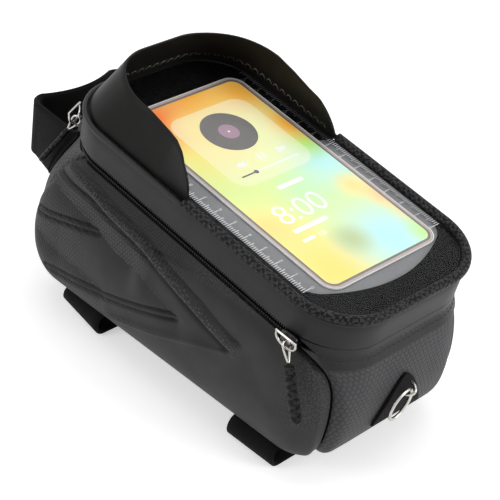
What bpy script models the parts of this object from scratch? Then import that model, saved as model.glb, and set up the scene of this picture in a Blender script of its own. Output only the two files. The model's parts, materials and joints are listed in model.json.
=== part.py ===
# Bike phone bag: a soft bag with a moulded shell body, a zipped lid that holds a
# phone under a clear window, a sun visor round the front of the lid, and three straps.
# X is to the bag's right, +Y is towards the bike's stem, +Z is up.
# The origin is the middle of the base panel's underside.
import math

import bmesh
import bpy
from mathutils import Matrix, Vector

for old in list(bpy.data.objects):
    bpy.data.objects.remove(old, do_unlink=True)

MM = 0.001

# Clearances
SEAM_GAP = 0.3 * MM
FABRIC_GAP = 0.45 * MM
RUNNING_GAP = 0.5 * MM

# Lid, measured in its own plane; the lid rises towards the front
LID_WIDTH = 109.0 * MM
LID_LENGTH = 194.0 * MM
LID_CORNER = 32.0 * MM
LID_TILT = math.radians(8.0)
LID_HEIGHT = 94.0 * MM
LID_SHIFT = -9.5 * MM
PIPING_DIAMETER = 4.8 * MM
PIPING_RISE = 1.0 * MM
PIPING_PROUD = 1.8 * MM
BAND_THICK = 3.4 * MM
BAND_BOTTOM = 16.4 * MM

# Window, its printed border and the card that shows a phone's screen
FILM_THICK = 0.6 * MM
BORDER_THICK = 0.8 * MM
CLEAR_SIDE = 4.5 * MM
CLEAR_FRONT = 5.75 * MM
CLEAR_REAR = 1.75 * MM
CLEAR_CORNER = 9.0 * MM
CLEAR_TONGUE = 7.0 * MM
CLEAR_SHIFT = 3.8 * MM
CARD_WIDTH = 76.0 * MM
CARD_LENGTH = 142.5 * MM
CARD_CORNER = 8.0 * MM
CARD_SHIFT = 4.4 * MM

# Phone pocket under the window
SHEET_THICK = 0.8 * MM
POCKET_DEPTH = 9.0 * MM
BACKING_THICK = 1.2 * MM
BACKING_SLOT_WIDTH = 80.0 * MM
BACKING_SLOT_LENGTH = 30.0 * MM
BACKING_SLOT_CORNER = 8.0 * MM
BACKING_SLOT_REAR = 21.0 * MM

# Visor
VISOR_HEIGHT = 21.0 * MM
VISOR_EXTRA = 2.5 * MM
VISOR_THICK = 1.6 * MM
VISOR_LEAN = math.radians(21.0)
VISOR_RISE_RUN = 22.0 * MM
VISOR_REAR_END = 7.0 * MM
VISOR_FOOT = 1.2 * MM
VISOR_INSET = 3.8 * MM
VISOR_FLANGE = 1.6 * MM
VISOR_CORNER = 36.0 * MM
VISOR_SKEW = 2.5 * MM

# Zip under the band
ZIP_DEPTH = 19.2 * MM
COIL_GAP = 1.2 * MM
COIL_HEIGHT = 1.5 * MM
COIL_INSET = 0.8 * MM
TAPE_THICK = 0.7 * MM
TAPE_HEIGHT = 6.0 * MM
ZIP_END = 0.386

# Body shell: outlines at the base and at the rim, and the bulge between them
BASE_WIDTH = 106.0 * MM
BASE_LENGTH = 195.0 * MM
BASE_CORNER = 20.0 * MM
RIM_DEPTH = 21.8 * MM
RIM_INSET = 0.8 * MM
PANEL_THICK = 2.2 * MM
SIDE_SWELL = 5.2 * MM
FRONT_SWELL = 8.5 * MM
UNDER_REACH = 11.0 * MM
BASE_THICK = 2.4 * MM
SEAM_WIDTH = 0.8 * MM
REAR_SEAM = 0.426
REAR_SEAM_SWEEP = 0.045
FRONT_SEAM = 0.078
FRONT_SEAM_SWEEP = -0.03

# Moulded lines of the side panels, as (y, z) on the left side in millimetres
RIDGE_HEIGHT = 1.7 * MM
GROOVE_DEPTH = 1.3 * MM
RIDGE_HALF = 4.6 * MM
MAIN_RIDGE = ((64, 73), (34, 66), (-7, 55), (-34, 46), (-54, 42.5))
LOWER_RIDGE = ((30, 11), (5, 19), (-29, 33), (-54, 42.5))
UPPER_GROOVE = ((90, 45), (73, 47), (59, 50), (45, 54))
LOWER_GROOVE = ((82, 12), (49, 17.5), (26, 24), (12, 29), (-12, 38))
FRONT_CREASE = ((90, 66), (68, 61), (45, 55.5), (28, 50), (18, 48))
LOW_CREASE = ((86, 33), (72, 28), (49, 25), (36, 23))

# Sewn flap that carries the lid's hinge
FLAP_THICK = 1.4 * MM
FLAP_DROP = 11.0 * MM
FLAP_END = 0.408

# Rear tab with its ring
TAB_WIDTH = 34.0 * MM
TAB_BOTTOM = 15.0 * MM
TAB_TOP = 39.0 * MM
TAB_THICK = 1.4 * MM
RING_LENGTH = 18.0 * MM
RING_WIDTH = 10.0 * MM
RING_WIRE = 1.8 * MM
RING_LEAN = math.radians(45.0)
STAPLE_DEPTH = 7.0 * MM
STAPLE_REACH = 5.0 * MM
STAPLE_SPAN = 6.4 * MM
STAPLE_WIRE = 1.5 * MM

# Bottom straps, closed into loops
LOOP_WIDTH = 103.0 * MM
LOOP_DROP = 13.3 * MM
STRAP_WIDTH = 29.0 * MM
STRAP_THICK = 2.0 * MM
FRONT_LOOP_INSET = 35.0 * MM
REAR_LOOP_INSET = 36.0 * MM
FRONT_LOOP_TWIST = 3.4 * MM
FRONT_LOOP_SKEW = 3.5 * MM

# Front strap, for the head tube
HEAD_STRAP_HEIGHT = 28.0 * MM
HEAD_STRAP_THICK = 3.0 * MM
HEAD_STRAP_LEVEL = 64.5 * MM
HEAD_STRAP_SPAN = 74.0 * MM
HEAD_STRAP_FRONT = 132.5 * MM
HEAD_STRAP_TAPER = 4.0 * MM
HEAD_STRAP_BEND = 10.0 * MM
HEAD_STRAP_DIP = 5.0 * MM

# Zip sliders and pulls
SLIDER_LENGTH = 9.0 * MM
BLADE_HEIGHT = 7.2 * MM
BLADE_THICK = 1.1 * MM
WEB_THICK = 0.5 * MM
BAIL_LENGTH = 9.5 * MM
BAIL_RISE = 3.6 * MM
BAIL_WIRE = 1.3 * MM
LINK_RADIUS = 2.1 * MM
LINK_LENGTH = 8.0 * MM
LINK_WIRE = 1.0 * MM
PULL_LENGTH = 27.0 * MM
PULL_WIDTH = 5.2 * MM
PULL_THICK = 2.8 * MM
REAR_SLIDER_Y = -66.5 * MM
REAR_PULL_LEAN = math.radians(-36.0)
REAR_PULL_SWING = math.radians(8.5)
FRONT_SLIDER_PAST = 2.0 * MM
FRONT_PULL_LEAN = math.radians(0.0)
FRONT_PULL_SWING = math.radians(24.0)


def make_material(name, colour, roughness, metallic=0.0, alpha=1.0):
    material = bpy.data.materials.new(name)
    material.use_nodes = True
    shader = material.node_tree.nodes["Principled BSDF"]
    shader.inputs["Base Color"].default_value = (*colour, 1.0)
    shader.inputs["Roughness"].default_value = roughness
    shader.inputs["Metallic"].default_value = metallic
    shader.inputs["Alpha"].default_value = alpha
    return material


shell_grey = make_material("shell_grey", (0.055, 0.055, 0.058), 0.6)
panel_grey = make_material("panel_grey", (0.085, 0.085, 0.09), 0.65)
band_grey = make_material("band_grey", (0.045, 0.045, 0.048), 0.5)
fabric_black = make_material("fabric_black", (0.02, 0.02, 0.021), 0.85)
visor_black = make_material("visor_black", (0.015, 0.015, 0.016), 0.45)
binding_grey = make_material("binding_grey", (0.05, 0.05, 0.055), 0.4)
film_clear = make_material("film_clear", (0.8, 0.8, 0.82), 0.08, alpha=0.25)
border_black = make_material("border_black", (0.02, 0.02, 0.02), 0.2)
sheet_grey = make_material("sheet_grey", (0.5, 0.5, 0.52), 0.4)
card_print = make_material("card_print", (0.95, 0.85, 0.4), 0.4)
zip_black = make_material("zip_black", (0.02, 0.02, 0.02), 0.5)
metal_silver = make_material("metal_silver", (0.75, 0.73, 0.7), 0.25, 1.0)
rubber_black = make_material("rubber_black", (0.03, 0.03, 0.03), 0.6)


# Basic shapes

def make_solid(name, points, faces, material, pivot=None):
    shape = bmesh.new()
    corners = [shape.verts.new(point) for point in points]
    for face in faces:
        shape.faces.new([corners[index] for index in face])
    shape.normal_update()
    bmesh.ops.triangulate(shape, faces=[face for face in shape.faces if len(face.verts) > 4])
    bmesh.ops.recalc_face_normals(shape, faces=shape.faces)
    if pivot is not None:
        bmesh.ops.translate(shape, vec=-pivot, verts=shape.verts)
    mesh = bpy.data.meshes.new(name)
    shape.to_mesh(mesh)
    shape.free()
    mesh.materials.append(material)
    solid = bpy.data.objects.new(name, mesh)
    bpy.context.scene.collection.objects.link(solid)
    if pivot is not None:
        solid.location = pivot
    return solid


def skin(name, loops, material, closed=False, pivot=None):
    # Joins closed profile loops one after the other into a solid
    size = len(loops[0])
    points = [point for loop in loops for point in loop]
    faces = []
    for step in range(len(loops) if closed else len(loops) - 1):
        here = step * size
        after = (step + 1) % len(loops) * size
        for index in range(size):
            turn = (index + 1) % size
            faces.append((here + index, here + turn, after + turn, after + index))
    if not closed:
        faces.append(tuple(range(size)))
        faces.append(tuple(len(points) - size + index for index in range(size)))
    return make_solid(name, points, faces, material, pivot)


def grid_normals(rows, wrap):
    count = len(rows[0])
    normals = []
    for level, row in enumerate(rows):
        below = rows[max(level - 1, 0)]
        above = rows[min(level + 1, len(rows) - 1)]
        line = []
        for index in range(count):
            if wrap:
                before, after = row[index - 1], row[(index + 1) % count]
            else:
                before, after = row[max(index - 1, 0)], row[min(index + 1, count - 1)]
            line.append((after - before).cross(above[index] - below[index]).normalized())
        normals.append(line)
    return normals


def thick_sheet(name, rows, thickness, material, wrap=False, step=1, normals=None, lifts=None):
    # Rows of points, lifted off by their distances, make the outer face; the inner face lies
    # one thickness behind the rows and may use only every second row and column
    count = len(rows[0])
    if normals is None:
        normals = grid_normals(rows, wrap)
    points = [point for row in rows for point in row]
    if lifts is not None:
        lines = [normal * lift for line, levels in zip(normals, lifts)
                 for normal, lift in zip(line, levels)]
        points = [point + line for point, line in zip(points, lines)]
    faces = []
    columns = count if wrap else count - 1
    for level in range(len(rows) - 1):
        for index in range(columns):
            turn = (index + 1) % count
            faces.append((level * count + index, level * count + turn,
                          (level + 1) * count + turn, (level + 1) * count + index))
    inner = {}
    for level in range(0, len(rows), step):
        for index in range(0, count, step):
            inner[level, index] = len(points)
            points.append(rows[level][index] - normals[level][index] * thickness)
    for level in range(0, len(rows) - 1, step):
        for index in range(0, columns, step):
            turn = (index + step) % count
            faces.append((inner[level, index], inner[level + step, index],
                          inner[level + step, turn], inner[level, turn]))

    def wall(cells):
        for place in range(0, len(cells) - 1, step):
            first = cells[place]
            last = cells[place + step]
            path = [level * count + index for level, index in cells[place:place + step + 1]]
            faces.append((*path, inner[last], inner[first]))

    around = list(range(0, count)) + ([0] if wrap else [])
    wall([(0, index) for index in around])
    wall([(len(rows) - 1, index) for index in around])
    if not wrap:
        wall([(level, 0) for level in range(len(rows))])
        wall([(level, count - 1) for level in range(len(rows))])
    return make_solid(name, points, faces, material)


def tube(name, path, radius, material, closed=False, sides=8, pivot=None):
    loops = []
    count = len(path)
    up = None
    for index, spot in enumerate(path):
        if closed:
            before, after = path[index - 1], path[(index + 1) % count]
        else:
            before, after = path[max(index - 1, 0)], path[min(index + 1, count - 1)]
        ahead = (after - before).normalized()
        if up is None:
            up = ahead.orthogonal().normalized()
        up = (up - ahead * up.dot(ahead)).normalized()
        across = ahead.cross(up)
        loops.append([spot + (up * math.cos(math.tau * turn / sides)
                              + across * math.sin(math.tau * turn / sides)) * radius
                      for turn in range(sides)])
    return skin(name, loops, material, closed, pivot)


def curve_through(knots, share):
    # Smooth value at a share of the way along evenly spaced knots
    place = min(max(share, 0.0), 1.0) * (len(knots) - 1)
    index = min(int(place), len(knots) - 2)
    part = place - index
    start, end = knots[index], knots[index + 1]
    before = knots[index - 1] if index else start * 2 - end
    after = knots[index + 2] if index + 2 < len(knots) else end * 2 - start
    return (start * 2 + (end - before) * part
            + (before * 2 - start * 5 + end * 4 - after) * part ** 2
            + (start * 3 - before - end * 3 + after) * part ** 3) * 0.5


def join(target, tool):
    union = target.modifiers.new("union", "BOOLEAN")
    union.operation = "UNION"
    union.solver = "EXACT"
    union.object = tool
    tool.hide_render = True
    tool.display_type = "WIRE"


# Outlines

def outline(share, width, length, corner):
    # Point and outward direction on a rounded rectangle, by the share of the way round:
    # 0 is the front's middle, 0.25 the left side, 0.5 the rear's middle
    flat_x = width / 2 - corner
    flat_y = length / 2 - corner
    bend = corner * math.pi / 2
    perimeter = 4 * (flat_x + flat_y + bend)
    share %= 1.0
    right = share > 0.5
    run = (1.0 - share if right else share) * perimeter
    if run <= flat_x:
        spot = Vector((-run, length / 2, 0))
        out = Vector((0, 1, 0))
    elif run <= flat_x + bend:
        turn = (run - flat_x) / corner
        out = Vector((-math.sin(turn), math.cos(turn), 0))
        spot = Vector((-flat_x, flat_y, 0)) + out * corner
    elif run <= flat_x + bend + 2 * flat_y:
        spot = Vector((-width / 2, flat_y - (run - flat_x - bend), 0))
        out = Vector((-1, 0, 0))
    elif run <= flat_x + 2 * bend + 2 * flat_y:
        turn = (run - flat_x - bend - 2 * flat_y) / corner
        out = Vector((-math.cos(turn), -math.sin(turn), 0))
        spot = Vector((-flat_x, -flat_y, 0)) + out * corner
    else:
        spot = Vector((run - perimeter / 2, -length / 2, 0))
        out = Vector((0, -1, 0))
    if right:
        spot.x = -spot.x
        out.x = -out.x
    return spot, out


def side_share(y):
    # Share of the way round at which the lid's left edge passes y
    flat_x = LID_WIDTH / 2 - LID_CORNER
    flat_y = LID_LENGTH / 2 - LID_CORNER
    bend = LID_CORNER * math.pi / 2
    return (flat_x + bend + flat_y - y) / (4 * (flat_x + flat_y + bend))


LID_TURN = Matrix.Rotation(LID_TILT, 3, "X")
LID_CENTRE = Vector((0, LID_SHIFT, LID_HEIGHT))
LID_UP = LID_TURN @ Vector((0, 0, 1))


def lid_place(spot):
    return LID_CENTRE + LID_TURN @ Vector(spot)


def lid_edge(share, inset, z):
    # Point of the lid at a distance inside its outline and a height over its plane
    spot, out = outline(share, LID_WIDTH, LID_LENGTH, LID_CORNER)
    spot = spot - out * inset
    spot.z = z
    return lid_place(spot)


HINGE = lid_place((0, -LID_LENGTH / 2 + PIPING_PROUD, -BAND_BOTTOM - SEAM_GAP))
BODY_SWELL = [Vector((offset, height, 0)) for offset, height in (
    (-2.4, 0.0), (-1.3, 0.005), (-0.15, 0.07), (0.6, 0.2), (0.95, 0.37),
    (1.0, 0.53), (0.85, 0.7), (0.5, 0.86), (0.0, 1.0))]
FRONT_EXTRA = [Vector((value, 0, 0)) for value in (
    0.2, 0.5, 0.72, 0.88, 0.97, 1.0, 0.96, 0.8, 0.52, 0.22, 0.0)]


def shell(share, level):
    # Body surface: level 0 is under the base, 1 the rim; above 1 it goes up with the lid's walls
    low, low_out = outline(share, BASE_WIDTH, BASE_LENGTH, BASE_CORNER)
    high, high_out = outline(share, LID_WIDTH - 2 * PIPING_PROUD, LID_LENGTH - 2 * PIPING_PROUD,
                             LID_CORNER - PIPING_PROUD)
    high = lid_place(high - high_out * RIM_INSET - Vector((0, 0, RIM_DEPTH)))
    knot = curve_through(BODY_SWELL, level)
    out = low_out.lerp(high_out, knot.y).normalized()
    swell = knot.x * (UNDER_REACH / 2.4 if knot.x < 0 else SIDE_SWELL)
    forward = min(max(out.y / 0.86, 0.0), 1.0)
    forward = forward * forward * (3 - 2 * forward)
    swell += forward * FRONT_SWELL * curve_through(FRONT_EXTRA, knot.y).x
    spot = low.lerp(high, knot.y) + out * swell
    if level > 1:
        spot += LID_UP * (level - 1) * RIM_DEPTH
    return spot


def level_at(share, height, start=0.3):
    # Level at which the body surface passes a height
    low, high = start, 1.0
    for _ in range(24):
        middle = (low + high) / 2
        if shell(share, middle).z < height:
            low = middle
        else:
            high = middle
    return (low + high) / 2


def rear_seam(level):
    return REAR_SEAM - REAR_SEAM_SWEEP * max(level, 0) ** 10


def front_seam(level):
    return FRONT_SEAM - FRONT_SEAM_SWEEP * max(level, 0) ** 10


def shell_normal(share, level):
    reach = 0.002
    ahead = shell(share + reach, level) - shell(share - reach, level)
    level = min(max(level, reach), 1.3)
    return ahead.cross(shell(share, level + reach) - shell(share, level - reach)).normalized()


def body_sheet(name, cells, thickness, material, lift=0.0, step=1, relief=None):
    # A sheet on the body surface: cells are rows of (share, level)
    normals = [[shell_normal(*cell) for cell in row] for row in cells]
    rows = [[shell(*cell) + normal * lift for cell, normal in zip(row, line)]
            for row, line in zip(cells, normals)]
    lifts = None
    if relief is not None:
        lifts = [[relief(*cell) for cell in row] for row in cells]
    return thick_sheet(name, rows, thickness, material, step=step, normals=normals, lifts=lifts)


# Body panels, sewn edge to edge

SHARE_PER_METRE = 1 / (2 * (BASE_WIDTH + BASE_LENGTH) - BASE_CORNER)
SEAM_HALF = SEAM_WIDTH / 2 * SHARE_PER_METRE


def spread(start, end, count):
    return [start + (end - start) * index / count for index in range(count + 1)]


PANEL_LEVELS = spread(0.0, 1.0, 18)


def line_reach(y, z, line):
    # Distance from a point of the side to a moulded line
    best = 1.0
    for start, end in zip(line, line[1:]):
        from_y, from_z = start[0] * MM, start[1] * MM
        run_y, run_z = end[0] * MM - from_y, end[1] * MM - from_z
        part = ((y - from_y) * run_y + (z - from_z) * run_z) / (run_y ** 2 + run_z ** 2)
        part = min(max(part, 0.0), 1.0)
        best = min(best, math.hypot(y - from_y - run_y * part, z - from_z - run_z * part))
    return best


def side_relief(share, level):
    spot = shell(share, level)
    fade = min(level / 0.2, (1 - level) / 0.12, 1.0)
    raised = [math.exp(-(line_reach(spot.y, spot.z, line) / RIDGE_HALF) ** 2)
              for line in (MAIN_RIDGE, LOWER_RIDGE)]
    sunk = [math.exp(-(line_reach(spot.y, spot.z, line) / RIDGE_HALF) ** 2)
            for line in (UPPER_GROOVE, LOWER_GROOVE, FRONT_CREASE, LOW_CREASE)]
    return max(fade, 0.0) * (RIDGE_HEIGHT * max(raised) - GROOVE_DEPTH * max(sunk))


def panel(name, first, last, columns, material, relief=None):
    cells = [[(share, level) for share in
              spread(first(level) + SEAM_HALF, last(level) - SEAM_HALF, columns)]
             for level in PANEL_LEVELS]
    return body_sheet(name, cells, PANEL_THICK, material, step=2, relief=relief)


panel("left_side_panel", front_seam, rear_seam, 40, shell_grey, side_relief)
panel("right_side_panel", lambda level: 1 - rear_seam(level), lambda level: 1 - front_seam(level),
      40, shell_grey, side_relief)
panel("rear_panel", rear_seam, lambda level: 1 - rear_seam(level), 20, panel_grey)
panel("front_panel", lambda level: -front_seam(level), front_seam, 20, panel_grey)

base_edge = UNDER_REACH + 2 * FABRIC_GAP


def base_ring(z, count=48):
    ring = []
    for index in range(count):
        spot, out = outline(index / count, BASE_WIDTH, BASE_LENGTH, BASE_CORNER)
        spot = spot - out * min(base_edge, BASE_CORNER * 0.98)
        ring.append(Vector((spot.x, spot.y, z)))
    return ring


base_panel = skin("base_panel", [base_ring(0.0), base_ring(BASE_THICK)], fabric_black)

# Zip: one strip of teeth and one tape on the body, and the same on the lid

ZIP_SHARES = spread(-ZIP_END, ZIP_END, 60)
TEETH_INSET = PIPING_PROUD + COIL_INSET
TAPE_INSET = PIPING_PROUD + BAND_THICK + 2 * SEAM_GAP


def zip_strip(name, inset, thickness, bottom, top, material, pivot=None):
    return skin(name, [[lid_edge(share, inset, bottom), lid_edge(share, inset, top),
                        lid_edge(share, inset + thickness, top),
                        lid_edge(share, inset + thickness, bottom)] for share in ZIP_SHARES],
                material, pivot=pivot)


teeth_depth = PIPING_PROUD + BAND_THICK - TEETH_INSET
lower_teeth = -ZIP_DEPTH - COIL_GAP / 2
upper_teeth = -ZIP_DEPTH + COIL_GAP / 2
zip_strip("body_zip_teeth", TEETH_INSET, teeth_depth, lower_teeth - COIL_HEIGHT, lower_teeth,
          zip_black)
zip_strip("body_zip_tape", TAPE_INSET, TAPE_THICK, lower_teeth - TAPE_HEIGHT, lower_teeth,
          fabric_black)
zip_strip("lid_zip_teeth", TEETH_INSET, teeth_depth, upper_teeth, upper_teeth + COIL_HEIGHT,
          zip_black, HINGE)
zip_strip("lid_zip_tape", TAPE_INSET, TAPE_THICK, upper_teeth,
          upper_teeth + TAPE_HEIGHT - COIL_GAP, fabric_black, HINGE)

# Lid band, piping and visor

PIPING_RADIUS = PIPING_DIAMETER / 2
BAND_TOP = PIPING_RISE - PIPING_RADIUS - SEAM_GAP
RING_SHARES = spread(0.0, 1.0, 80)[:-1]
band_profile = [(0.5 * MM, -BAND_BOTTOM), (0.0, -BAND_BOTTOM * 0.9), (0.0, -BAND_BOTTOM * 0.35),
                (0.5 * MM, BAND_TOP - 0.9 * MM), (1.4 * MM, BAND_TOP), (BAND_THICK, BAND_TOP),
                (BAND_THICK, -BAND_BOTTOM)]
lid_band = skin("lid_band", [[lid_edge(share, PIPING_PROUD + inset, z) for inset, z in band_profile]
                             for share in RING_SHARES], band_grey, closed=True, pivot=HINGE)

VISOR_END = side_share(VISOR_REAR_END)
lid_round = 2 * (LID_WIDTH + LID_LENGTH) - 8 * LID_CORNER + math.tau * LID_CORNER
PIPING_START = VISOR_END + SEAM_GAP / lid_round
piping_loops = []
for share in spread(PIPING_START, 1 - PIPING_START, 44):
    piping_loops.append([lid_edge(share, PIPING_RADIUS * (1 - math.cos(math.tau * turn / 6)),
                                  PIPING_RISE + PIPING_RADIUS * math.sin(math.tau * turn / 6))
                         for turn in range(6)])
lid_piping = skin("lid_piping", piping_loops, binding_grey, pivot=HINGE)

# Window: film, printed border with its clear opening, card and pocket sheet

FILM_TOP = 0.6 * MM
film_edge = PIPING_DIAMETER + FABRIC_GAP
border_top = FILM_TOP - FILM_THICK - SEAM_GAP
border_low = border_top - BORDER_THICK
sheet_top = border_low - SEAM_GAP
sheet_low = sheet_top - SHEET_THICK
backing_top = sheet_low - POCKET_DEPTH
WINDOW_SHARES = spread(0.0, 1.0, 72)[:-1]


def plate(name, inset, bottom, top, material):
    return skin(name, [[lid_edge(share, inset, z) for share in WINDOW_SHARES]
                       for z in (bottom, top)], material, pivot=HINGE)


window_film = plate("window_film", film_edge, FILM_TOP - FILM_THICK, FILM_TOP, film_clear)


clear_width = CARD_WIDTH + 2 * CLEAR_SIDE
clear_front = CARD_LENGTH / 2 + CLEAR_FRONT
clear_rear = CARD_LENGTH / 2 + CLEAR_REAR


def clear_edge(share, z):
    # Opening in the printed border: square at the front, a shallow tongue at the rear
    spot, _ = outline(share, clear_width, clear_front + clear_rear, CLEAR_CORNER)
    spot.y += (clear_front - clear_rear) / 2
    rearward = min(max((-spot.y - clear_rear * 0.55) / (clear_rear * 0.45), 0.0), 1.0)
    across = min(abs(spot.x) / (clear_width / 2), 1.0)
    spot.y -= CLEAR_TONGUE * (1 - across ** 2) * rearward
    return lid_place((spot.x + CLEAR_SHIFT, spot.y, z))


window_border = skin("window_border", [[lid_edge(share, film_edge, border_low),
                                        lid_edge(share, film_edge, border_top),
                                        clear_edge(share, border_top),
                                        clear_edge(share, border_low)]
                                       for share in WINDOW_SHARES],
                     border_black, closed=True, pivot=HINGE)


def card_ring(z):
    ring = []
    for index in range(40):
        spot, _ = outline(index / 40, CARD_WIDTH, CARD_LENGTH, CARD_CORNER)
        ring.append(lid_place((spot.x + CARD_SHIFT, spot.y, z)))
    return ring


display_card = skin("display_card", [card_ring(border_low), card_ring(border_top)], card_print,
                    pivot=HINGE)
pocket_sheet = plate("pocket_sheet", PIPING_PROUD + BAND_THICK + SEAM_GAP, sheet_low, sheet_top,
                     sheet_grey)


def slot_edge(share, z):
    spot, _ = outline(share, BACKING_SLOT_WIDTH, BACKING_SLOT_LENGTH, BACKING_SLOT_CORNER)
    middle = BACKING_SLOT_REAR + BACKING_SLOT_LENGTH / 2 - LID_LENGTH / 2
    return lid_place((spot.x, spot.y + middle, z))


backing_low = backing_top - BACKING_THICK
pocket_backing = skin("pocket_backing",
                      [[lid_edge(share, PIPING_PROUD + BAND_THICK + SEAM_GAP, backing_low),
                        lid_edge(share, PIPING_PROUD + BAND_THICK + SEAM_GAP, backing_top),
                        slot_edge(share, backing_top), slot_edge(share, backing_low)]
                       for share in WINDOW_SHARES], fabric_black, closed=True, pivot=HINGE)

# Visor: a strip that stands on the film's edge and leans in, more so at its corners

visor_low = FILM_TOP + SEAM_GAP
visor_run = VISOR_END * lid_round


def visor_spot(share, inset, tall, part):
    low, low_out = outline(share, LID_WIDTH, LID_LENGTH, LID_CORNER)
    lean = VISOR_HEIGHT * math.tan(VISOR_LEAN) * 2
    high, high_out = outline(share, LID_WIDTH - lean, LID_LENGTH - lean, VISOR_CORNER)
    lean_part = part * tall / VISOR_HEIGHT
    spot = low.lerp(high, lean_part) - low_out.lerp(high_out, lean_part).normalized() * inset
    spot.x -= VISOR_SKEW * lean_part
    spot.z = visor_low + VISOR_FOOT + part * tall
    return lid_place(spot)


visor_loops = []
for share in spread(-VISOR_END, VISOR_END, 60):
    from_end = (1 - abs(share) / VISOR_END) * visor_run
    rise = 1 - min(from_end / VISOR_RISE_RUN, 1)
    tall = VISOR_HEIGHT * math.sqrt(1 - rise * rise)
    tall += VISOR_EXTRA * min(from_end / visor_run * 1.6, 1)
    tall = max(tall, 0.6 * MM)
    inside = VISOR_INSET + VISOR_THICK
    loop = [lid_edge(share, inside + VISOR_FLANGE, visor_low), lid_edge(share, VISOR_INSET, visor_low)]
    loop += [visor_spot(share, VISOR_INSET, tall, part) for part in (0.0, 0.33, 0.67, 1.0)]
    loop += [visor_spot(share, inside, tall, part) for part in (1.0, 0.67, 0.33, 0.0)]
    loop.append(lid_edge(share, inside + VISOR_FLANGE, visor_low + VISOR_FOOT * 0.6))
    visor_loops.append(loop)
visor = skin("visor", visor_loops, visor_black, pivot=HINGE)

# Hinge flap, sewn to the rear panel

flap_top = 1 + (RIM_DEPTH - BAND_BOTTOM - 2 * SEAM_GAP) / RIM_DEPTH
flap_cells = [[(share, level) for share in spread(FLAP_END, 1 - FLAP_END, 28)]
              for level in (1 - FLAP_DROP / (BASE_LENGTH / 2), 0.95, 1.0, (1 + flap_top) / 2, flap_top)]
body_sheet("hinge_flap", flap_cells, FLAP_THICK, band_grey, lift=FLAP_THICK + FABRIC_GAP)

# Rear tab, its staple and the ring

tab_cells = []
for height in spread(TAB_BOTTOM, TAB_TOP, 8):
    part = (height - TAB_BOTTOM) / (TAB_TOP - TAB_BOTTOM)
    half = TAB_WIDTH / 2 * (1 - 0.8 * part ** 1.2) * math.sqrt(max(1.02 - part ** 8, 0.0))
    turn = half * SHARE_PER_METRE
    tab_cells.append([(share, level_at(share, height, 0.15))
                      for share in spread(0.5 - turn, 0.5 + turn, 6)])
body_sheet("rear_tab", tab_cells, TAB_THICK, fabric_black, lift=TAB_THICK + FABRIC_GAP)

STAPLE_HEIGHT = TAB_TOP - STAPLE_DEPTH
staple_foot = shell(0.5, level_at(0.5, STAPLE_HEIGHT)) - Vector((0, TAB_THICK + 2 * FABRIC_GAP, 0))
ring_down = Vector((-math.sin(RING_LEAN), 0, -math.cos(RING_LEAN)))
ring_across = Vector((math.cos(RING_LEAN), 0, -math.sin(RING_LEAN)))
staple_path = []
for index in range(9):
    turn = math.pi * index / 8
    staple_path.append(staple_foot + ring_down * -math.cos(turn) * STAPLE_SPAN / 2
                       + Vector((0, -1, 0)) * (math.sin(turn) * STAPLE_REACH + STAPLE_WIRE / 4))
tab_staple = tube("tab_staple", staple_path, STAPLE_WIRE / 2, metal_silver)
RING_PIVOT = staple_foot + Vector((0, -STAPLE_REACH + STAPLE_WIRE / 2 + RING_WIRE / 2 + SEAM_GAP, 0))
ring_centre = RING_PIVOT + ring_down * (RING_LENGTH - RING_WIRE) / 2
ring_path = [ring_centre + ring_down * -math.cos(turn) * (RING_LENGTH - RING_WIRE) / 2
             + ring_across * math.sin(turn) * (RING_WIDTH - RING_WIRE) / 2
             for turn in spread(0, math.tau, 24)[:-1]]
tab_ring = tube("tab_ring", ring_path, RING_WIRE / 2, metal_silver, closed=True, sides=6,
                pivot=RING_PIVOT)

# Bottom straps

def bottom_strap(name, middle, twist, skew):
    # Flat under the base, round at both ends, flat where it lies on the ground
    rows = []
    for part in spread(1, 0, 2):
        drop = LOOP_DROP - SEAM_GAP - twist * part
        radius = drop / 2
        flat = LOOP_WIDTH / 2 - skew * part - radius
        path = [(x, -SEAM_GAP) for x in spread(flat, -flat, 8)]
        path += [(-flat - radius * math.sin(turn), -SEAM_GAP - radius + radius * math.cos(turn))
                 for turn in spread(0, math.pi, 8)[1:-1]]
        path += [(x, -SEAM_GAP - drop) for x in spread(-flat, flat, 8)]
        path += [(flat + radius * math.sin(turn), -SEAM_GAP - radius - radius * math.cos(turn))
                 for turn in spread(0, math.pi, 8)[1:-1]]
        y = middle - STRAP_WIDTH / 2 + STRAP_WIDTH * part
        rows.append([Vector((x, y, z)) for x, z in path])
    return thick_sheet(name, rows, STRAP_THICK, fabric_black, wrap=True)


bottom_strap("rear_bottom_strap", REAR_LOOP_INSET - BASE_LENGTH / 2, 0.0, 0.0)
bottom_strap("front_bottom_strap", BASE_LENGTH / 2 - FRONT_LOOP_INSET, FRONT_LOOP_TWIST,
             FRONT_LOOP_SKEW)

# Front strap: sewn flat on the front panel, then round the head tube

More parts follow.
